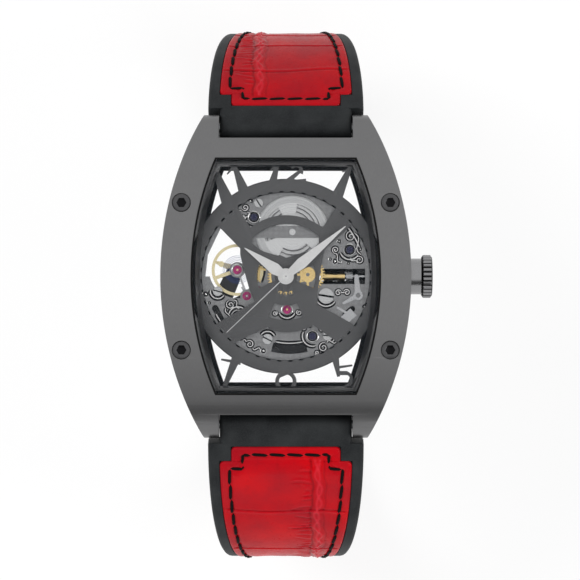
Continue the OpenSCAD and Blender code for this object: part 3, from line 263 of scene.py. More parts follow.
def circular_grained(name, color, rough, pitch):
    """Perlage: overlapping round polishing marks. Rings run round the centre of each Voronoi
    cell, and the distance from that centre sets the shade and the roughness."""
    add, shader, made = surface_material(name, color, rough)
    where = object_space(add, (1 / pitch, 1 / pitch, 0.001))
    cell = add("ShaderNodeTexVoronoi", {"Vector": where, "Scale": 1.0, "Randomness": 0.25},
               voronoi_dimensions="2D").outputs["Distance"]
    wave = maths(add, "SINE", maths(add, "MULTIPLY", cell, 60.0))
    lit = between(add, span(add, cell, 0, 1, 0.0, 0.8), shade(color, 1.12), shade(color, 0.86))
    dull = span(add, noise(add, 2.0, 4.0), 0, 0.35, 0.3, 0.8)
    link(between(add, dull, lit, shade(color, 0.6)), shader, "Base Color")
    link(span(add, wave, rough - 0.08, rough + 0.1, -1, 1), shader, "Roughness")
    textured(add, shader, wave, 0.25, 0.004)
    return made


def smooth_rule():
    """Geometry nodes that weld a CAD mesh's loose triangles and round off its shading,
    leaving every edge sharper than 25 degrees crisp."""
    rule = bpy.data.node_groups.new("weld_and_smooth", "GeometryNodeTree")
    rule.interface.new_socket("Geometry", in_out="INPUT", socket_type="NodeSocketGeometry")
    rule.interface.new_socket("Geometry", in_out="OUTPUT", socket_type="NodeSocketGeometry")
    add = shader_tree(rule)
    start = add("NodeGroupInput")
    weld = add("GeometryNodeMergeByDistance", {"Geometry": start.outputs[0], "Distance": WELD})
    soft = add("GeometryNodeSetShadeSmooth", {"Geometry": weld.outputs[0], "Shade Smooth": True},
               domain="FACE")
    angle = add("GeometryNodeInputMeshEdgeAngle")
    sharp = add("FunctionNodeCompare", {0: angle.outputs["Unsigned Angle"], 1: math.radians(25)},
                data_type="FLOAT", operation="GREATER_THAN")
    crisp = add("GeometryNodeSetShadeSmooth", {"Geometry": soft.outputs[0], "Selection": sharp.outputs[0],
                                               "Shade Smooth": False}, domain="EDGE")
    add("NodeGroupOutput", {0: crisp.outputs[0]})
    return rule


SMOOTH = smooth_rule()


def dress(material, slot, *names, bevel=0.0):
    """Gives CAD nodes a material and smooth shading, and breaks their edges by bevel mm."""
    for name in names:
        piece = node[name]
        piece.data.materials.clear()
        piece.data.materials.append(material)
        if bevel:
            weld = piece.modifiers.new("weld", "WELD")
            weld.merge_threshold = WELD
            flat = piece.modifiers.new("flat_faces", "DECIMATE")
            flat.decimate_type = "DISSOLVE"
            flat.angle_limit = math.radians(0.05)
            edge = piece.modifiers.new("broken_edges", "BEVEL")
            edge.width = bevel * MM
            edge.segments = 2
            edge.limit_method = "ANGLE"
            edge.angle_limit = math.radians(35)
        piece.modifiers.new("smooth", "NODES").node_group = SMOOTH


def painted(made):
    """A finished material's node adder, its shader and the socket of its colour."""
    shader = next(item for item in made.node_tree.nodes if item.type == "BSDF_PRINCIPLED")
    return adder(made.node_tree), shader, shader.inputs["Base Color"].links[0].from_socket


def darkened(made, measure, limit, color=(0.012, 0.012, 0.013), below=True, floor=None):
    """Blackens a material where a measure of the place in mm is below, or above, a limit, and
    not below the floor. The measure is a length or a coordinate in a moved, stretched space."""
    add, shader, was = painted(made)
    kind, centre, axes = measure
    where = object_space(add, axes, centre)
    if kind == "reach":
        value = add("ShaderNodeVectorMath", {0: where}, operation="LENGTH").outputs["Value"]
    else:
        value = add("ShaderNodeSeparateXYZ", {0: where}).outputs[kind]
    share = maths(add, "LESS_THAN" if below else "GREATER_THAN", value, limit)
    if floor is not None:
        share = maths(add, "MULTIPLY", share, maths(add, "GREATER_THAN", value, floor))
    link(between(add, share, was, color), shader, "Base Color")
    return made


def sides_in_painted_shade(made, color=(0.006, 0.006, 0.007)):
    """Paints shade on a material's cut walls and broken edges: its colour stays on its upper faces only."""
    add, shader, was = painted(made)
    up = add("ShaderNodeSeparateXYZ", {0: add("ShaderNodeNewGeometry").outputs["True Normal"]}).outputs["Z"]
    link(between(add, span(add, up, 0, 1, 0.75, 0.97), color, was), shader, "Base Color")
    return made


# Painted shade: the plate turns black outside the rim radius, where the dial's ring shades it.
plate_finish = darkened(circular_grained("circular_grained_nickel", PLATE_GREY, 0.34, 0.9), FROM_CENTRE,
                        PLATE_SHADE_R, below=False)
bridge_finish = circular_grained("circular_grained_bridge", BRIDGE_SHADE_GREY, 0.3, 1.3)
# The plate's cut walls are painted dark, as shade.
dress(sides_in_painted_shade(plate_finish), "plate_metal", "main_plate")
dress(bridge_finish, "plate_metal", "barrel_bridge", "train_bridge", "balance_cock", "pallet_bridge")


# Wheels and pinions: gilt brass wheels with spokes on polished steel arbors, and the
# bright steel barrel, ratchet and crown wheels, whose faces are turned to a spiral sheen.
GILT = (0.72, 0.54, 0.25)
PALE_GILT = (0.72, 0.63, 0.40)
STEEL = (0.40, 0.405, 0.415)
ARBOR_R = 0.4  # the steel middle of the fourth wheel
SLOT_SHADE_FLOOR = 8.32  # below it the screws' slots are painted black, as shade in them

gilt = grained("gilt_brass", GILT, 0.26, 0.18)
steel = grained("polished_steel", STEEL, 0.2, 0.12, 0.002)
blue = grained("blued_spring", (0.05, 0.09, 0.30), 0.25, 0.2, 0.002)


def sunray(name, color, rough, centre):
    """Turned steel: fine rings round the wheel's arbor change roughness and shade."""
    add, shader, made = surface_material(name, color, rough)
    where = object_space(add, (1, 1, 0.001), centre)
    reach = add("ShaderNodeVectorMath", {0: where}, operation="LENGTH").outputs["Value"]
    fine = add("ShaderNodeTexNoise", {"W": reach, "Scale": 16.0, "Detail": 3.0},
               noise_dimensions="1D").outputs["Fac"]
    link(between(add, span(add, fine, 0, 1, 0.3, 0.7), shade(color, 0.85), shade(color, 1.12)),
         shader, "Base Color")
    link(span(add, fine, rough - 0.07, rough + 0.12, 0.3, 0.7), shader, "Roughness")
    textured(add, shader, fine, 0.3, 0.004)
    return made


def centre_of(name):
    """Middle of a CAD node's box in plan, in millimetres."""
    low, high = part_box(name)
    return [500 * (low[i] + high[i]) for i in range(2)] + [0]


for name in ("barrel", "ratchet_wheel", "crown_wheel"):
    dress(sunray("turned_" + name, (0.58, 0.585, 0.59), 0.24, centre_of(name)), "movement_steel", name)
dress(gilt, "gilt", "center_wheel", "third_wheel", "minute_wheel", "hour_wheel", "sliding_pinion")
dress(darkened(grained("gilt_on_steel", GILT, 0.26, 0.18), FROM_CENTRE, ARBOR_R, STEEL), "gilt",
      "fourth_wheel")
dress(grained("pale_gilt", PALE_GILT, 0.28, 0.15), "gilt", "balance_wheel", "regulator")
dress(steel, "movement_steel", "click", "escape_wheel", "pallet_fork", "cannon_pinion", "winding_stem",
      "winding_pinion", "setting_lever", "lever_spring", "rotor_screw", "spring_bar_12", "spring_bar_6")
slotted = grained("slotted_steel", (0.46, 0.465, 0.47), 0.24, 0.15, 0.002)
# The slots of the movement screws are painted black, as shade in them.
dress(darkened(slotted, HEIGHT, SLOT_SHADE_FLOOR), "movement_steel", "movement_screws")
dress(blue, "spring_steel", "hairspring")
dress(grained("oiled_spring", (0.12, 0.12, 0.125), 0.3, 0.25, 0.002), "spring_steel", "mainspring")


# Jewels: pink synthetic ruby bearings in the plate and bridges, pressed in flush; the
# four cap jewels of the dial side stand higher and are dark sapphire blue.
CAP_FROM, CAP_BLUE = 8.22, (0.006, 0.007, 0.05)


def gem(name, color, centre_color):
    """Clear corundum: light passes into the stone and its middle looks darker and deeper."""
    add, shader, made = surface_material(name, color, 0.06, 0.0, **{
        "IOR": 1.45, "Transmission Weight": 0.25, "Coat Weight": 0.1, "Coat Roughness": 0.02})
    stone = between(add, span(add, noise(add, 1.4, 2.0), 0, 1, 0.35, 0.65), centre_color, color)
    height = add("ShaderNodeSeparateXYZ", {0: object_space(add)}).outputs["Z"]
    link(between(add, maths(add, "GREATER_THAN", height, CAP_FROM), stone, CAP_BLUE), shader, "Base Color")
    return made


dress(gem("ruby", (0.55, 0.02, 0.20), (0.30, 0.01, 0.11)), "ruby", "jewels")


# Rotor: the winding weight behind the movement, a heavy half ring on a thin spoked plate,
# brushed in arcs. It shows only through the glass of the case back.
dress(sunray("brushed_rotor", (0.42, 0.42, 0.43), 0.3, (0, 0, 0)), "plate_metal", "rotor_plate",
      "rotor_weight")


# Dial: one thin openworked plate coated matt dark grey, with a ring of dark notches and
# plain tapered numerals that reach out over the empty corners.
dial_finish = grained("dial_coating", (0.066, 0.066, 0.068), 0.5, 0.22, 0.006, (5, 5, 5), 0.1, 0.35)
# The dial's cut walls and broken edges are painted dark, as shade.
dress(sides_in_painted_shade(dial_finish), "dial_coat", "dial_plate", bevel=0.09)


# Hands: flat satin silver blades stamped from thin sheet, each pressed by its boss on the
# tube or arbor of its wheel. The hour and minute hands are widest a quarter of the way out.
hand_finish = grained("satin_silver", (0.60, 0.60, 0.60), 0.34, 0.1, 0.003, (1, 1, 1), 0.1, 0.8)
dress(hand_finish, "hand_metal", "hour_hand", "minute_hand", "seconds_hand")


# Case: middle, bezel, crown and rings of steel with a satin gunmetal plating, brushed
# along the watch, with every edge broken by a fine polished chamfer.
GUNMETAL = (0.17, 0.17, 0.172)
FROM_CROWN_AXIS = ("reach", (0, 0, 6.2), (0.001, 1, 1))
GROOVE_SHADE_INNER_R, GROOVE_SHADE_R = 3.1, 3.5  # between them lie the crown's grooves, painted black as shade in them
SOCKET_SHADE_FLOOR = 12.44  # below it the bezel screws' hexagon sockets are painted black, as shade in them
BACK_SHADE_FROM = 1.3  # above it the case back's inner face is painted black, as the shade inside the case
gunmetal = grained("satin_gunmetal", GUNMETAL, 0.36, 0.1, 0.002, (4, 0.25, 1), 0.06, blotch=0.04)
dress(gunmetal, "case_metal", "case_middle", "bezel", bevel=0.12)
dress(grained("polished_neck", (0.26, 0.26, 0.265), 0.22, 0.1, 0.002, (2, 2, 2)), "case_metal", "crown_tube")
# The crown's grooves are painted black, as shade in them.
dress(darkened(grained("fluted_crown", (0.24, 0.24, 0.245), 0.3, 0.1, 0.002, (2, 2, 2)),
               FROM_CROWN_AXIS, GROOVE_SHADE_R, floor=GROOVE_SHADE_INNER_R), "case_metal", "crown")
dress(grained("dark_gunmetal", (0.034, 0.034, 0.035), 0.4, 0.15), "case_metal", "movement_ring")
dress(grained("grey_flange", (0.14, 0.14, 0.142), 0.4), "case_metal", "rehaut_ring")
# The sockets of the bezel screws are painted black, as shade in them.
dress(darkened(grained("black_screw_plating", (0.085, 0.085, 0.088), 0.3), HEIGHT, SOCKET_SHADE_FLOOR),
      "dark_screws", "bezel_screws", bevel=0.08)
back_finish = grained("brushed_back", (0.34, 0.34, 0.35), 0.32, 0.15, stretch=(0.3, 4, 1))
# The case back's inner face is painted black, as the shade inside the case.
dress(darkened(back_finish, HEIGHT, BACK_SHADE_FROM, below=False), "back_metal", "case_back", "case_back_screws")
dress(grained("seal_rubber", (0.006, 0.006, 0.006), 0.7, 0.3, 0.004, metallic=0.0,
              **{"Specular IOR Level": 0.1}), "black_seal", "crystal_gasket", "case_back_gasket")


# Crystal and case back glass: flat-ground mineral glass with an anti-reflective coating,
# so little more than a faint sheen of it is seen.
def coated_glass(name, tint):
    """Nearly clear sheet with a soft sheen; faint smears change how sharp the sheen is."""
    add, shader, made = surface_material(name, tint, 0.04, 0.0, **{"Alpha": 0.03, "IOR": 1.5})
    link(span(add, noise(add, 0.12, 2.0), 0.02, 0.09, 0.3, 0.7), shader, "Roughness")
    return made


dress(coated_glass("coated_crystal", (0.1, 0.12, 0.14)), "crystal_glass", "crystal", "case_back_glass")


# Strap, rubber: two moulded halves of matt black rubber, worn into a curve. Each is hooked
# on a spring bar by a narrow tongue between the lugs, widens into square shoulders and
# thins towards its end. A shallow bed on its outer face takes the leather.
LEATHER_SHORT = 9  # how far the leather ends before the strap does
BAR = (25.1, 6.116)  # (y, z) of the 12 o'clock spring bar
# A bend is its radius and its turn in degrees; a straight is its length and no turn. The last
# bend of the 6 o'clock half brings its tail down to the keeper's room, and the straight after
# it ends TAIL_TIP before the middle of the watch.
HALF_12 = {"body": "strap_12", "start": -36.5, "mirror": 1,
           "bends": ((3, 0), (36, 53.5), (8, 0), (19.5, 90), (6, 0))}
HALF_6 = {"body": "strap_6", "start": -14, "mirror": -1,
          "bends": ((3, 0), (26.5, 76), (7, 0), (28.685, 90), (18.415, 0))}
for half in (HALF_12, HALF_6):
    half["stretches"] = [(r * math.radians(turn) if turn else r, turn) for r, turn in half["bends"]]
    lengths = [length for length, _ in half["stretches"]]
    half.update(length=sum(lengths), upper_end=sum(lengths[:3]), leather_end=sum(lengths) - LEATHER_SHORT)
EYE_R, BUCKLE_EYE_R = 1.75, 1.5
TONGUE_W, SHOULDER_W, NARROWING = 11.2, 13.2, 3.4  # half widths, and what the end is narrower by
THICK = (1.65, 2.1, 1.4)  # half thickness at the bar, beside the lugs and further on
SHOULDER = 2.8  # where the shoulders begin, from the spring bar
LEATHER_START, LEATHER_STEP, LEATHER_STEP_W = 3.3, 5.7, 9.3
LEATHER_MARGIN, LEATHER_PROUD, BED = 1.9, 0.3, 0.5
TAIL_TIP, TAIL_R = 1, 12  # the tail's tip and its rounding in plan
TAIL_Y = TAIL_TIP + TAIL_R
HOLES, HOLE_PITCH, HOLE_D, FIRST_HOLE = 7, 6.5, 2.4, 20


def centre_line(s, half):
    """(y, z, heading) of the centre line at distances s from the spring bar. The heading
    falls evenly along each bend and stays along each straight; y and z are the running
    sums of its cosine and sine."""
    ends = np.cumsum([0] + [length for length, _ in half["stretches"]])
    heads = half["start"] - np.cumsum([0] + [turn for _, turn in half["stretches"]])
    step = 0.02
    fine = np.arange(-3, ends[-1] + 3, step)
    head = np.radians(np.interp(fine, ends, heads))
    middle = (head[1:] + head[:-1]) / 2
    y, z = (np.concatenate([[0], np.cumsum(f(middle) * step)]) for f in (np.cos, np.sin))
    y += BAR[0] - np.interp(0, fine, y)
    z += BAR[1] - np.interp(0, fine, z)
    return np.interp(s, fine, y), np.interp(s, fine, z), np.interp(s, fine, head)


def on_strap(x, s, h, half):
    """Points in mm: x across, s along the centre line and h above it along its normal."""
    y, z, head = centre_line(s, half)
    return np.stack([x + 0 * s, half["mirror"] * (y - h * np.sin(head)), z + h * np.cos(head)], axis=-1)


def half_thick(s, half):
    """Half the thickness: a circle round the spring bar, then straight lines between the
    three values of THICK, the last of them from the end of the upper curve on."""
    plain = np.interp(s, (0, 3, half["upper_end"]), THICK)
    eye = np.sqrt(np.clip(EYE_R ** 2 - np.minimum(s, 0) ** 2, 0, None))
    return np.where(s <= 0, eye, np.maximum(plain, np.where(s < 0.67, EYE_R, 0)))


def half_width(s, half):
    """Half the width: SHOULDER_W at the shoulders, less by NARROWING times the share of the
    first bend's chord to the power 1.7, and the same from there on."""
    (lead, _), (bend, turn) = half["stretches"][:2]
    a = -math.radians(90 - turn / 2)
    y, z, _ = centre_line(np.atleast_1d(s), half)
    y0, z0, _ = centre_line(np.array([lead, lead + bend]), half)
    u = y * math.cos(a) + z * math.sin(a)
    u0, u1 = y0 * math.cos(a) + z0 * math.sin(a) + (1, 0)
    share = np.where(np.asarray(s) > lead + bend, 1, np.clip((u - u0) / (u1 - u0), 0, 1))
    return SHOULDER_W - NARROWING * share ** 1.7


def turn_outward(mesh):
    """Merges a closed mesh's doubled points and turns its faces so that its volume is positive."""
    work = bmesh.new()
    work.from_mesh(mesh)
    bmesh.ops.remove_doubles(work, verts=work.verts, dist=WELD / 10)
    if work.calc_volume(signed=True) < 0:
        bmesh.ops.reverse_faces(work, faces=work.faces)
    work.to_mesh(mesh)
    work.free()


def mesh_piece(name, points, faces, material, body, slot, smooth=35):
    """A piece from points in mm and faces as index rows. Edges flatter than smooth degrees are
    shaded soft."""
    mesh = bpy.data.meshes.new(name)
    mesh.from_pydata((np.asarray(points, float).reshape(-1, 3) * MM).tolist(), [],
                     [tuple(face) for face in faces])
    turn_outward(mesh)
    mesh.shade_smooth()
    mesh.set_sharp_from_angle(angle=math.radians(smooth))
    piece = bpy.data.objects.new(name, mesh)
    scene.collection.objects.link(piece)
    mesh.materials.append(material)
    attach(piece, body)
    return piece


def rings(count, size, closed=False):
    """Quads that join count rings of size points; the last ring joins the first if closed."""
    r = np.arange(count if closed else count - 1)[:, None]
    c = np.arange(size)[None, :]
    n = (r + 1) % count
    quads = np.stack([r * size + c, r * size + (c + 1) % size, n * size + (c + 1) % size, n * size + c], -1)
    return quads.reshape(-1, 4)


def capped(count, size):
    """The quads of a tube of rings and a face over each end."""
    return [*rings(count, size), np.arange(size)[::-1], np.arange(size) + (count - 1) * size]


def repeated(faces, times, size):
    """The faces of one body of size points, for as many bodies in a row."""
    return [np.asarray(face) + i * size for i in range(times) for face in faces]


def round_angles(count):
    """Angles evenly spread over a circle."""
    return np.linspace(0, 2 * math.pi, count, endpoint=False)


def corner(x, h, radius, first, last, steps=5):
    """A quarter circle of a section's edge, between two angles in degrees."""
    a = np.radians(np.linspace(first, last, steps))
    return x[:, None] + radius[:, None] * np.cos(a), h[:, None] + radius[:, None] * np.sin(a)


def lofted(name, x, s, h, half, material, slot, smooth):
    """Closed sections of points x, h carried along the centre line at s, as a capped tube."""
    points = on_strap(x, s[:, None], h, half)
    return mesh_piece(name, points, capped(len(s), x.shape[1]), material, half["body"], slot, smooth)


def rubber_half(name, half, material):
    """The section carried along s is a bar with round edges of half width w and half thick
    t, whose outer face drops by the bed's depth inside the leather's outline. The half
    width jumps at the shoulders and the bed opens and widens over 0.02 mm."""
    total, end = half["length"], half["leather_end"]
    tail = half["mirror"] < 0
    nose = -EYE_R * np.cos(np.linspace(0.02, 1, 9) * math.pi / 2)
    steps = [0.35, 0.66, 0.7, 1.4, 2.1, SHOULDER - 0.02, SHOULDER + 0.01, 2.9, 3.0, 3.1,
             LEATHER_START - 0.02, LEATHER_START, 3.7, 4.5, LEATHER_STEP - 0.01, LEATHER_STEP + 0.01]
    body = np.arange(6.2, total - 1, 0.9)
    if tail:
        close = total - TAIL_R + TAIL_R * np.sin(np.linspace(0, 1, 24) * math.pi / 2)
        close = np.minimum(close, total - 0.01)
    else:
        close = total + BUCKLE_EYE_R * np.sin(np.linspace(-0.3, 0.98, 10) * math.pi / 2)
    s = np.unique(np.round(np.concatenate([nose, steps, body[body < close[0] - 0.2], close,
                                           [end - 0.01, end + 0.01]]), 4))
    t = half_thick(s, half)
    wide = half_width(s, half)
    w = np.where(s < SHOULDER, TONGUE_W, wide - 0.3 * np.clip((3.1 - s) / 0.3, 0, 1) ** 2)
    if tail:
        y, _, _ = centre_line(s, half)
        on_tail = (s > total - TAIL_Y) & (y < TAIL_Y)
        rounding = np.sqrt(np.clip(TAIL_R ** 2 - (TAIL_Y - y) ** 2, 0.0004, None))
        w = np.where(on_tail, np.minimum(w, rounding), w)
    else:
        eye = np.sqrt(np.clip(BUCKLE_EYE_R ** 2 - (s - total) ** 2, 0.0004, None))
        t = np.where(s > total - 0.55, eye, t)
    bed = np.where((s > LEATHER_START - 0.01) & (s < end), BED, 0.01)
    edge = np.where(s < LEATHER_STEP, LEATHER_STEP_W, wide - LEATHER_MARGIN)
    edge = np.minimum(edge, w * 0.86)
    # Rounding of the section's under and outer edges, and of the lip of the bed.
    low = np.minimum(0.5, np.minimum(w, t) * 0.5)
    high = np.minimum(0.7, np.minimum(w - edge, t) * 0.6)
    lip = np.minimum(0.08, bed)
    xl, hl = corner(w - low, low - t, low, -90, 0)
    xh, hh = corner(w - high, t - high, high, 0, 90)
    x = np.column_stack([0 * s, 0.5 * w, xl, xh, edge + 0.07, edge, edge, 0.5 * edge, 0 * s])
    h = np.column_stack([-t, -t, hl, hh, t, t - lip, t - bed, t - bed, t - bed])
    x = np.column_stack([x, -x[:, -2:0:-1]])
    h = np.column_stack([h, h[:, -2:0:-1]])
    return lofted(name, x, s, h, half, material, "strap_rubber", 40)


def cut(piece, cutters):
    """Takes closed shapes, given as (points in mm, faces), out of a piece for good."""
    made = []
    for points, faces in cutters:
        mesh = bpy.data.meshes.new("cutter")
        mesh.from_pydata((np.asarray(points) * MM).tolist(), [], [tuple(face) for face in faces])
        turn_outward(mesh)
        made.append(bpy.data.objects.new("cutter", mesh))
        scene.collection.objects.link(made[-1])
        taken = piece.modifiers.new("cut", "BOOLEAN")
        taken.object = made[-1]
        taken.solver = "EXACT"
    seen = piece.evaluated_get(bpy.context.evaluated_depsgraph_get())
    piece.data = bpy.data.meshes.new_from_object(seen)
    piece.modifiers.clear()
    for body in made:
        bpy.data.objects.remove(body)
    piece.data.set_sharp_from_angle(angle=math.radians(40))


def hole_cutters(half):
    """Round bars through the tail: circles carried along the strap's normal."""
    sides = 24
    a = round_angles(sides)
    for i in range(HOLES):
        s = half["length"] - FIRST_HOLE - HOLE_PITCH * i
        y, z, head = (float(v[0]) for v in centre_line(np.array([s]), half))
        h = np.array([-4.0, 4.0])[:, None]
        across, along = HOLE_D / 2 * np.cos(a) + 0 * h, HOLE_D / 2 * np.sin(a) + 0 * h
        points = np.stack([across, -(y + along * math.cos(head) - h * math.sin(head)),
                           z + along * math.sin(head) + h * math.cos(head)], -1)
        yield points.reshape(-1, 3), capped(2, sides)


def rubber_finish():
    """Matt silicone rubber: a fine moulded grain, faint dusty patches and small scuffs."""
    add, shader, made = surface_material("black_rubber", (0.012, 0.013, 0.014), 0.55, 0.0,
                                         **{"Specular IOR Level": 0.15})
    fine = noise(add, 7.0, 4.0)
    dusty = span(add, noise(add, 0.22, 4.0), 0, 1, 0.35, 0.7)
    ground = between(add, dusty, (0.008, 0.009, 0.010), (0.020, 0.022, 0.023))
    scuffed = span(add, fine, 0, 0.6, 0.45, 0.75)
    link(between(add, scuffed, ground, (0.034, 0.037, 0.039)), shader, "Base Color")
    link(span(add, fine, 0.44, 0.68), shader, "Roughness")
    textured(add, shader, fine, 0.5, 0.04)
    return made


black_rubber = rubber_finish()
rubber_12 = rubber_half("rubber_half_12", HALF_12, black_rubber)
bar_y, bar_z, _ = (float(v[0]) for v in centre_line(np.array([HALF_12["length"]]), HALF_12))
# The slot for the buckle's tongue is cut out of the end, round the bar.
slot_corners = [(x, bar_y + y, bar_z + z) for x in (-1.3, 1.3) for y in (-3.05, 3) for z in (-3, 3)]
slot_faces = [(0, 1, 3, 2), (4, 6, 7, 5), (0, 4, 5, 1), (2, 3, 7, 6), (0, 2, 6, 4), (1, 5, 7, 3)]
cut(rubber_12, [(slot_corners, slot_faces)])
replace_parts(rubber_12, "strap_12")
rubber_6 = rubber_half("rubber_half_6", HALF_6, black_rubber)
cut(rubber_6, list(hole_cutters(HALF_6)))
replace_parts(rubber_6, "strap_6")


# Strap, leather: glossy red calfskin embossed with large scales, cut with stepped corners,
# pressed into the rubber's bed and sewn down. One deep fold runs along each half.
STITCH_IN, STITCH_DOWN = 1.65, 1.3  # distance of the seam from the leather's sides and front
LEATHER_ROUND = 0.42  # rounding of the leather's top edge
SIDE_GAP, END_GAP = 0.04, 0.03  # room between the leather and the walls of its bed
PAD_RISE, SEAM_DEPTH, HOLLOW = 0.07, 0.13, 0.28  # the padded middle, the seam, the sunk middle
STRAND_RISE, LINE_DEPTH = 0.13, 0.12  # the fold's strands, the lines across
LUMPS, LUMP_RISE = 26, 0.035
NOSE_R, STEP_R, BACK_R = 0.8, 0.9, 1.5  # rounding of its corners in plan


def edge_distance(x, s, half):
    """Distance in mm from the leather's stepped outline, 0 on the outline and growing
    inwards; convex corners are round, the two inner corners of the step are not."""
    side = half_width(s[:, 0], half)[:, None] - LEATHER_MARGIN - SIDE_GAP
    ax = np.abs(x)

    def rounded(p, q, r):
        return np.where((p < r) & (q < r), r - np.hypot(r - p, r - q), np.minimum(p, q))

    front = s - LEATHER_START - END_GAP
    nose = rounded(LEATHER_STEP_W - ax - SIDE_GAP, front, NOSE_R)
    step = s - LEATHER_STEP - END_GAP
    inner = np.where(ax < LEATHER_STEP_W, np.hypot(LEATHER_STEP_W - ax, np.clip(step, 0, None)), step)
    back = rounded(side - ax, half["leather_end"] - END_GAP - s, BACK_R)
    body = np.where(ax > LEATHER_STEP_W, rounded(side - ax, step, STEP_R), np.minimum(side - ax, inner))
    return np.where(s < LEATHER_STEP + 0.02, nose, np.minimum(np.minimum(body, back), front + 0 * ax))


def rounded_by(distance, radius):
    """Rise of a quarter circle of this radius over the distance from its foot."""
    return np.sqrt(np.clip(radius ** 2 - np.clip(radius - distance, 0, radius) ** 2, 0, None))


def ridge(value, centre, width):
    """A smooth ridge of height 1 where value passes centre."""
    return np.exp(-((value - centre) / width) ** 2)


def leather_relief(x, s, half, seed):
    """Height in mm over the sewn-down leather: a padded middle, a pressed seam, one fold of
    crossing strands along s, short wrinkles that run into it, fine lines across and a few
    soft lumps. Returns the height, the distance from the outline, and the height of the fold,
    wrinkles and lines alone."""
    rng = np.random.default_rng(seed)
    d = edge_distance(x, s, half)
    high = PAD_RISE * np.clip((d - STITCH_IN) / 1.2, 0, 1) ** 0.7 - SEAM_DEPTH * ridge(d, STITCH_IN, 0.32)
    high -= HOLLOW * (1 - (x / 10) ** 2) * np.clip((s - 8) / 14, 0, 1)
    fold, side = half["fold"]
    wander = 0.22 * np.sin(s * 0.55 + seed) + 0.12 * np.sin(s * 1.7 + 2 * seed)
    strand = 0.42 * np.sin(s * 1.15 + seed)
    inside = np.clip((d - STITCH_IN) / 0.6, 0, 1)
    marks = inside * 0.04 * ridge(x, fold + wander, 0.9)
    for sign in (-1, 1):
        marks += inside * STRAND_RISE * ridge(x, fold + wander + sign * strand, 0.24)
    beside = ridge(x, fold - 1.1 + wander, 0.24) + 0.6 * ridge(x, fold + 1.15 + wander, 0.22)
    marks -= inside * STRAND_RISE * beside
    at = 7.5
    while at < half["leather_end"] - 4:
        length = rng.uniform(1.6, 4.4)
        slope = rng.uniform(-0.12, 0.12)
        deep = rng.uniform(0.05, 0.15)
        reach = side * (x - fold)
        shape = np.clip((reach - 0.9) / 0.6, 0, 1) * np.clip((length + 0.9 - reach) / 0.9, 0, 1)
        line = s - at - slope * (x - fold) - 0.25 * np.sin(x * 0.9 + at)
        marks += inside * shape * deep * (ridge(line, 0, 0.22) - 0.8 * ridge(line, 0.42, 0.2))
        at += rng.uniform(0.75, 1.9)
    for place in half["lines"]:
        line = s - place - 0.28 * np.sin(x * 0.35 + place) - 0.02 * x
        marks -= LINE_DEPTH * np.clip(d / 0.8, 0, 1) * (ridge(line, 0, 0.16) - 0.7 * ridge(line, 0.38, 0.2))
    for _ in range(LUMPS):
        p, q = rng.uniform(-10, 10), rng.uniform(5, half["leather_end"])
        wide, long = rng.uniform(1.2, 3), rng.uniform(2, 6)
        high += inside * rng.uniform(-LUMP_RISE, LUMP_RISE) * ridge(x, p, wide) * ridge(s, q, long)
    return high + marks, d, marks


def leather_half(name, half, material, seed):
    """A loft of sections across the strap. Each section's top follows the relief and rolls
    over a rounded rim to the leather's edge; its underside lies in the bed."""
    end = half["leather_end"]
    front = LEATHER_START + END_GAP + np.array([0, 0.02, 0.06, 0.13, 0.22, 0.32, 0.45, 0.6])
    stepped = LEATHER_STEP + np.array([-0.2, 0.0, 0.03, 0.05, 0.1, 0.18, 0.28, 0.4, 0.55, 0.7])
    seen = np.arange(3.8, 34, 0.2)
    rest = np.arange(34, end - 0.7, 0.45)
    back = end - END_GAP - np.array([0.6, 0.4, 0.25, 0.12, 0.04, 0])
    s = np.unique(np.round(np.concatenate([front, stepped, seen, rest, back]), 4))
    side = half_width(s, half) - LEATHER_MARGIN - SIDE_GAP
    grow = np.clip(s - LEATHER_START - END_GAP, 0, NOSE_R)
    nose = LEATHER_STEP_W - SIDE_GAP - NOSE_R + rounded_by(grow, NOSE_R)
    turn = np.clip(s - LEATHER_STEP - END_GAP, 0, STEP_R)
    wide = side - STEP_R + rounded_by(turn, STEP_R)
    shut = np.clip(end - END_GAP - s, 0, BACK_R)
    wide = wide - BACK_R + rounded_by(shut, BACK_R)
    reach = np.where(s < LEATHER_STEP + 0.02, nose, wide)
    rim = 1 - 0.055 * (1 - np.cos(np.linspace(0, 1, 9)[:-1] * math.pi / 2))
    inner = np.linspace(0, rim[-1], 78)
    share = np.concatenate([-rim, -inner[:0:-1], inner, rim[::-1]])
    share = np.unique(np.round(share, 6))
    x = reach[:, None] * share[None, :]
    high, d, marks = leather_relief(x, s[:, None] + 0 * x, half, seed)
    top = half_thick(s, half)[:, None]
    h = top + LEATHER_PROUD - 0.08 + high - LEATHER_ROUND + rounded_by(d, LEATHER_ROUND)
    under = top - BED + 0.02
    x = np.column_stack([x, x[:, -1], x[:, 0]])
    h = np.column_stack([h, under, under])
    piece = lofted(name, x, s, h, half, material, "strap_leather", 60)
    # The height of the fold, wrinkles and lines is kept for the material's painted shade in their grooves and
    # painted highlight on their ridges.
    relief_shade_highlight = piece.data.attributes.new("relief_shade_highlight", "FLOAT", "POINT")
    relief_shade_highlight.data.foreach_set("value", np.column_stack([marks, 0 * marks[:, :2]]).ravel())
    return piece


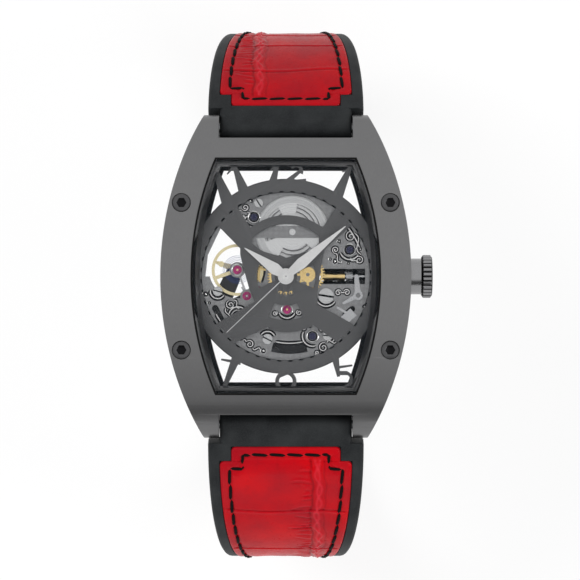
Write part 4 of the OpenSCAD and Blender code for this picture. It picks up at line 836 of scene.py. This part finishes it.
def leather_finish():
    """Glossy dyed calfskin: pores and fine creases in the grain, dye that pools darker in
    the middle of a scale, painted shade in the relief's grooves and a painted highlight on its ridges."""
    add, shader, made = surface_material("red_leather", (0.50, 0.006, 0.012), 0.34, 0.0,
                                         **{"Specular IOR Level": 0.03, "Coat Weight": 0.12,
                                            "Coat Roughness": 0.12})
    where = object_space(add)
    relief_shade_highlight = add("ShaderNodeAttribute", attribute_name="relief_shade_highlight").outputs["Fac"]
    pores = add("ShaderNodeTexVoronoi", {"Vector": where, "Scale": 3.2,
                                         "Randomness": 1.0}).outputs["Distance"]
    creases = noise(add, 1.1, 5.0, where, Roughness=0.6, Distortion=0.8)
    pooled = span(add, noise(add, 0.12, 3.0, where), 0, 1, 0.35, 0.68)
    ground = between(add, pooled, (0.30, 0.004, 0.010), (0.46, 0.0015, 0.005))
    ground = between(add, span(add, creases, 0, 0.35, 0.5, 0.78), ground, (0.20, 0.003, 0.006))
    # Painted shade darkens the grooves of the fold, wrinkles and lines, and a painted highlight lightens
    # their ridges.
    ground = between(add, span(add, relief_shade_highlight, 0.6, 0, -0.13, -0.01), ground, (0.13, 0.001, 0.004))
    link(between(add, span(add, relief_shade_highlight, 0, 0.4, 0.03, 0.2), ground, (0.66, 0.03, 0.05)), shader, "Base Color")
    link(span(add, creases, 0.24, 0.44, 0.3, 0.7), shader, "Roughness")
    textured(add, shader, maths(add, "ADD", creases, span(add, pores, 0, 0.35, 0, 0.5)), 0.35, 0.05)
    return made


# The fold's place across the strap and the side that its wrinkles lie on; the lines' places.
HALF_12.update(fold=(-4.5, -1), lines=(11.5, 20.5, 27.5, 34, 41, 49, 57, 65))
HALF_6.update(fold=(5.5, -1), lines=(15.2, 27.0, 37, 46, 55, 64, 73, 82, 91))
red_leather = leather_finish()
leather_12 = leather_half("leather_12", HALF_12, red_leather, 3)
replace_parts(leather_12, "strap_12_inlay")
leather_6 = leather_half("leather_6", HALF_6, red_leather, 8)
cut(leather_6, list(hole_cutters(HALF_6)))
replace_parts(leather_6, "strap_6_inlay")


# Seams: one line of waxed black thread round each leather, sewn with long stitches that
# dive into the skin at both ends and lie a little aslant.
STITCH_PITCH, THREAD_R = 3.0, 0.27


def seam_path(half):
    """Points (x, s) of the seam: the leather's outline moved inwards, as one closed line."""
    s = np.arange(LEATHER_STEP + STITCH_DOWN, half["leather_end"] - STITCH_IN - 0.8, 0.4)
    side = half_width(s, half) - LEATHER_MARGIN - STITCH_IN
    step_x, back = LEATHER_STEP_W - STITCH_IN - 0.35, half["leather_end"] - STITCH_IN
    right = [(0, LEATHER_START + STITCH_DOWN), (step_x, LEATHER_START + STITCH_DOWN),
             (step_x, LEATHER_STEP + STITCH_DOWN), *zip(side, s), (side[-1] - 0.8, back), (0, back)]
    return np.array(right + [(-x, along) for x, along in right[-2:0:-1]] + right[:1])


def seam(name, half, material):
    """Each stitch is a thread whose radius falls steeply at both ends, and whose height falls
    with the fourth power of the distance from its middle."""
    sections, sides = 7, 6
    path = seam_path(half)
    run = np.concatenate([[0], np.cumsum(np.hypot(*np.diff(path, axis=0).T))])
    count = int(round(run[-1] / STITCH_PITCH))
    v = np.linspace(-1, 1, sections)
    mid = (np.arange(count) + 0.5) * run[-1] / count
    along = mid[:, None] + v * STITCH_PITCH / 2
    px, ps = (np.interp(along, run, path[:, k]) for k in (0, 1))
    ahead_x, ahead_s = (np.interp(along + 0.15, run, path[:, k]) - np.interp(along - 0.15, run, path[:, k])
                        for k in (0, 1))
    size = np.hypot(ahead_x, ahead_s)
    side_x, side_s = -ahead_s / size, ahead_x / size
    slant = 0.1 * v
    radius = THREAD_R * np.sqrt(np.clip(1.02 - v ** 6, 0.02, 1))
    a = round_angles(sides)
    out = slant[None, :, None] + radius[None, :, None] * np.cos(a)
    x = px[..., None] + side_x[..., None] * out
    s = ps[..., None] + side_s[..., None] * out
    lift = LEATHER_PROUD - 0.1 - 0.1 * v ** 4
    h = half_thick(ps, half)[..., None] + lift[None, :, None] + radius[None, :, None] * np.sin(a) * 0.8
    points = on_strap(x, s, h, half)
    faces = repeated(capped(sections, sides), count, sections * sides)
    return mesh_piece(name, points, faces, material, half["body"], "strap_rubber", 80)


def thread_finish():
    """Waxed polyester thread, twisted: fine slanting strands."""
    add, shader, made = surface_material("black_thread", (0.005, 0.004, 0.004), 0.6, 0.0,
                                         **{"Specular IOR Level": 0.04})
    strands = add("ShaderNodeTexWave", {"Vector": object_space(add, turn=(0, 0, 0.6)), "Scale": 2.6,
                                        "Distortion": 1.0}).outputs["Fac"]
    link(between(add, strands, (0.002, 0.002, 0.002), (0.010, 0.008, 0.008)), shader, "Base Color")
    textured(add, shader, strands, 0.5, 0.04)
    return made


black_thread = thread_finish()
seam("seam_12", HALF_12, black_thread)
seam("seam_6", HALF_6, black_thread)


# Keeper: a moulded rubber loop fixed round the 12 o'clock half beside the buckle, with
# room for the other half's tail.
def keeper_loop(name, material):
    """A round-edged bar section carried round a rectangle with round corners."""
    low, high = (np.array(v) * 1000 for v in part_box("keeper"))
    wall, r, e = 1.05, 1.6, 0.3  # the wall, the rounding of the loop's corners and of its edges
    turn = np.linspace(0, math.pi / 2, 7) + np.arange(4)[:, None] * math.pi / 2
    cx = np.repeat([high[0] - r, low[0] + r, low[0] + r, high[0] - r], 7)
    cz = np.repeat([high[2] - r, high[2] - r, low[2] + r, low[2] + r], 7)
    nx, nz = np.cos(turn).ravel(), np.sin(turn).ravel()
    q = np.radians(np.linspace(0, 90, 4))
    up, over = e * np.sin(q), e * np.cos(q)
    ring_y = np.concatenate([high[1] - e + up, high[1] - e + over, low[1] + e - up, low[1] + e - over])
    ring_d = np.concatenate([e - over, wall - e + up, wall - e + over, e - up])
    x = cx[:, None] + nx[:, None] * (r - ring_d)
    z = cz[:, None] + nz[:, None] * (r - ring_d)
    points = np.stack([x, ring_y + 0 * x, z], -1)
    return mesh_piece(name, points, rings(len(cx), len(ring_d), closed=True), material, "strap_12",
                      "strap_rubber", 50)


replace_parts(keeper_loop("keeper_loop", black_rubber), "keeper")


# Plate ornaments: the dial side of the main plate is worked into volutes, ringed beads and
# collars round the cap jewels, cut in relief and polished on top; dark pieces under them paint the grooves'
# shade.
PLATE_TOP = 8.3
PATH_POINTS = 36
# Places are (x, y) in mm: a volute has its radius, first angle and sense, a bead its size, an
# arc its radius and two angles, a curl its start, end and bulge.
CAPS = ((-5.4, 10), (10.8, 4.5), (4.5, -10.1), (-8.1, -6.7))
VOLUTES = ((-6.85, 11.65, 0.6, 200, 1), (-7.35, 9.75, 0.62, 100, -1), (10.95, 6.75, 0.9, 80, 1),
           (12.4, 2.75, 0.72, 130, -1), (8.85, -2.75, 0.55, 10, 1), (10.3, -2.7, 0.58, 170, -1),
           (-6.1, -11.45, 0.72, 150, -1), (6.35, -12.0, 0.85, 60, 1), (-9.35, -4.8, 0.8, 100, 1),
           (-9.9, -8.0, 0.6, 40, -1), (2.25, -6.1, 0.5, 100, 1), (-1.85, -6.2, 0.45, 60, -1),
           (3.0, -8.75, 0.5, 200, -1), (5.2, -12.9, 0.4, 200, 1), (-8.55, 10.3, 0.45, 150, 1),
           (8.4, 4.5, 0.6, 250, -1))
BEADS = ((8.3, 2.55, 0.58), (3.9, -4.9, 0.48), (3.6, -6.55, 0.42), (-13.6, -3.0, 0.6), (5.3, -8.1, 0.34),
         (4.1, -8.5, 0.3), (-3.8, -12.6, 0.55), (-7.65, -10.35, 0.55), (-5.75, 12.7, 0.3), (-6.3, 8.65, 0.32),
         (13.3, -5.1, 0.45), (9.0, 5.9, 0.45), (12.6, 4.6, 0.4), (-12.95, -4.5, 0.35), (-7.5, -8.3, 0.35),
         (7.5, 2.9, 0.34), (10.6, 2.2, 0.34))
ARCS = ((-5.4, 10, 1.75, 165, 292), (4.5, -10.1, 1.7, 150, 292), (-8.1, -6.7, 1.55, 15, 170),
        (10.8, 4.5, 1.65, 195, 330), (-11.5, -2.5, 1.25, 170, 330), (-3.1, -10.6, 1.3, 20, 150),
        (7.1, -10, 1.25, -60, 60), (6.8, -3.3, 1.75, 190, 330), (0.2, -5.6, 1.45, 200, 340),
        (0.6, -0.3, 11.0, -103, -78), (0, 0, 13.35, 21, 41), (0, 0, 13.4, -152, -139))
CURLS = (((-7.1, -10.7), (-6.6, -10.9), 0.1), ((-5.6, -12.0), (-4.3, -12.5), -0.3),
         ((5.0, -8.5), (6.4, -9.0), 0.35), ((9.35, -2.9), (9.8, -2.55), 0.12),
         ((11.5, 7.4), (12.8, 3.6), 0.45), ((12.0, 2.1), (11.0, 3.2), -0.3),
         ((-8.9, -4.0), (-7.7, -5.4), 0.3), ((-10.1, -5.3), (-9.6, -7.3), -0.25),
         ((-6.6, 10.9), (-6.5, 9.3), 0.5), ((6.9, -11.3), (8.6, -10.8), 0.35),
         ((-8.2, 9.9), (-7.6, 11.2), -0.3), ((8.0, 3.9), (9.4, 2.4), 0.35))
PIVOT_RINGS = ((-8.2, 1.1, 1), (0.2, -5.6, 1))  # plain collars round two pivots
# Profiles (radius, height over the plate) of what is turned round a cap jewel or a bead.
COLLAR = ((0.86, -0.1), (0.88, 0.1), (0.98, 0.16), (1.06, 0.12), (1.1, -0.1))
# The flat ring round each cap jewel and the disc under each bead are painted shade.
CAP_SHADE_RING = ((0.62, -0.05), (0.87, -0.05), (0.87, 0.02), (0.62, 0.02))
BEAD_RING = ((0.72, -0.08), (0.78, 0.09), (0.9, 0.11), (1.0, -0.08))
BEAD = ((0, -0.1), (0.38, -0.1), (0.36, 0.06), (0.22, 0.12), (0, 0.14))
BEAD_SHADE_DISC = ((0, -0.05), (0.95, -0.05), (0.95, 0.02), (0, 0.02))


def volute(x, y, radius, start, sense):
    """A plan spiral: 1.4 turns, while its radius falls from the rim to a fifth."""
    t = np.linspace(0, 1, PATH_POINTS)
    a = math.radians(start) + sense * 2.8 * math.pi * t
    r = radius * (1 - 0.8 * t ** 0.9)
    return np.stack([x + r * np.cos(a), y + r * np.sin(a)], -1)


def arc(x, y, radius, first, last):
    """A plan arc round (x, y) between two angles in degrees."""
    a = np.radians(np.linspace(first, last, PATH_POINTS))
    return np.stack([x + radius * np.cos(a), y + radius * np.sin(a)], -1)


def curl(start, end, bulge):
    """A shallow S between two plan points: a line moved sideways by a sine."""
    t = np.linspace(0, 1, PATH_POINTS)[:, None]
    start, end = np.array(start), np.array(end)
    across = np.array([start[1] - end[1], end[0] - start[0]]) / np.hypot(*(end - start))
    return start + (end - start) * t + across * bulge * np.sin(t * 2 * math.pi)


def wires(paths, radius, base, flat):
    """Threads along plan paths: across each path a circle flattened by flat, whose radius
    falls at both ends."""
    sides = 6
    paths = np.asarray(paths)
    ahead = np.gradient(paths, axis=1)
    ahead /= np.linalg.norm(ahead, axis=-1, keepdims=True)
    thick = radius * np.sqrt(1.03 - np.linspace(-1, 1, paths.shape[1]) ** 8)[:, None]
    a = round_angles(sides)
    x = paths[..., :1] - ahead[..., 1:] * thick * np.cos(a)
    y = paths[..., 1:] + ahead[..., :1] * thick * np.cos(a)
    z = base + flat * thick * np.sin(a) + 0 * x
    faces = repeated(capped(x.shape[1], sides), len(paths), x[0].size)
    return np.stack([x, y, z], -1).reshape(-1, 3), faces


def turned(places, profile, count=28):
    """A closed profile of (radius, height over the plate) turned round an upright line
    through each place (x, y, scale), which scales its radius."""
    places, profile = np.asarray(places, float), np.asarray(profile, float) + (0, PLATE_TOP)
    a = round_angles(count)[None, :, None]
    r = places[:, 2, None, None] * profile[None, None, :, 0]
    x = places[:, 0, None, None] + r * np.cos(a)
    y = places[:, 1, None, None] + r * np.sin(a)
    z = profile[:, 1] + 0 * x
    faces = repeated(rings(count, len(profile), closed=True), len(places), x[0].size)
    return np.stack([x, y, z], -1).reshape(-1, 3), faces


def together(*parts):
    """Joins (points, faces) pairs into one."""
    points, faces, start = [], [], 0
    for more, rows in parts:
        points.append(more)
        faces += [np.asarray(row) + start for row in rows]
        start += len(more)
    return np.concatenate(points), faces


scrolls = [volute(*row) for row in VOLUTES] + [curl(*row) for row in CURLS]
edges = [arc(*row) for row in ARCS]
cap_rings = [(x, y, 1) for x, y in CAPS]
relief_finish = grained("polished_relief", (0.62, 0.62, 0.62), 0.22)
relief = together(wires(scrolls, 0.12, PLATE_TOP + 0.06, 0.8), wires(edges, 0.15, PLATE_TOP + 0.03, 0.7),
                  turned([*cap_rings, *PIVOT_RINGS], COLLAR), turned(BEADS, BEAD_RING), turned(BEADS, BEAD))
mesh_piece("scroll_relief", *relief, relief_finish, "case", "movement_steel", 30)
# Dark pieces under the relief paint the shade of its grooves, round the cap jewels and under the beads.
groove_shade_finish = grained("painted_shade_grooves", (0.008, 0.008, 0.009), 0.5, 0.3, 0.004, (4, 4, 4),
                        metallic=0.2, **{"Specular IOR Level": 0.1})
grooves = together(wires(scrolls, 0.29, PLATE_TOP, 0.1), wires(edges, 0.4, PLATE_TOP, 0.08),
                   turned(cap_rings, CAP_SHADE_RING), turned(BEADS, BEAD_SHADE_DISC))
mesh_piece("scroll_groove_shade", *grooves, groove_shade_finish, "case", "plate_metal", 30)


# Barrel rim: the toothed wheel at the top of the barrel, a flat steel ring with cut teeth,
# pressed on the drum.
RIM_X, RIM_Y, RIM_LOW, RIM_HIGH = 1.1, 7.5, 8.02, 8.2
RIM_INNER, RIM_OUTER = 4.95, 6.02
TEETH, HALF_TOOTH = 72, 0.19


def toothed_ring():
    """A flat ring whose outer radius moves by HALF_TOOTH with the cosine of the angle times the
    teeth, made steeper and cut off, over 8 points a tooth."""
    a = round_angles(8 * TEETH)[:, None]
    tip = RIM_OUTER - HALF_TOOTH + HALF_TOOTH * np.clip(2.2 * np.cos(a * TEETH), -1, 1)
    r = np.concatenate([RIM_INNER + 0 * a, tip, tip, RIM_INNER + 0 * a], 1)
    z = np.array([RIM_LOW, RIM_LOW, RIM_HIGH, RIM_HIGH]) + 0 * r
    points = np.stack([RIM_X + r * np.cos(a), RIM_Y + r * np.sin(a), z], -1)
    return points.reshape(-1, 3), rings(len(a), 4, closed=True)


rim_finish = sunray("turned_rim", (0.46, 0.465, 0.47), 0.26, (RIM_X, RIM_Y, 0))
mesh_piece("barrel_rim", *toothed_ring(), rim_finish, "barrel", "movement_steel", 30)


# Buckle: a gunmetal frame and tongue on a steel bar at the end of the 12 o'clock half,
# cast, satin-finished and pinned.
dress(gunmetal, "buckle_metal", "buckle_frame", "buckle_tongue", bevel=0.12)
dress(steel, "movement_steel", "buckle_bar")
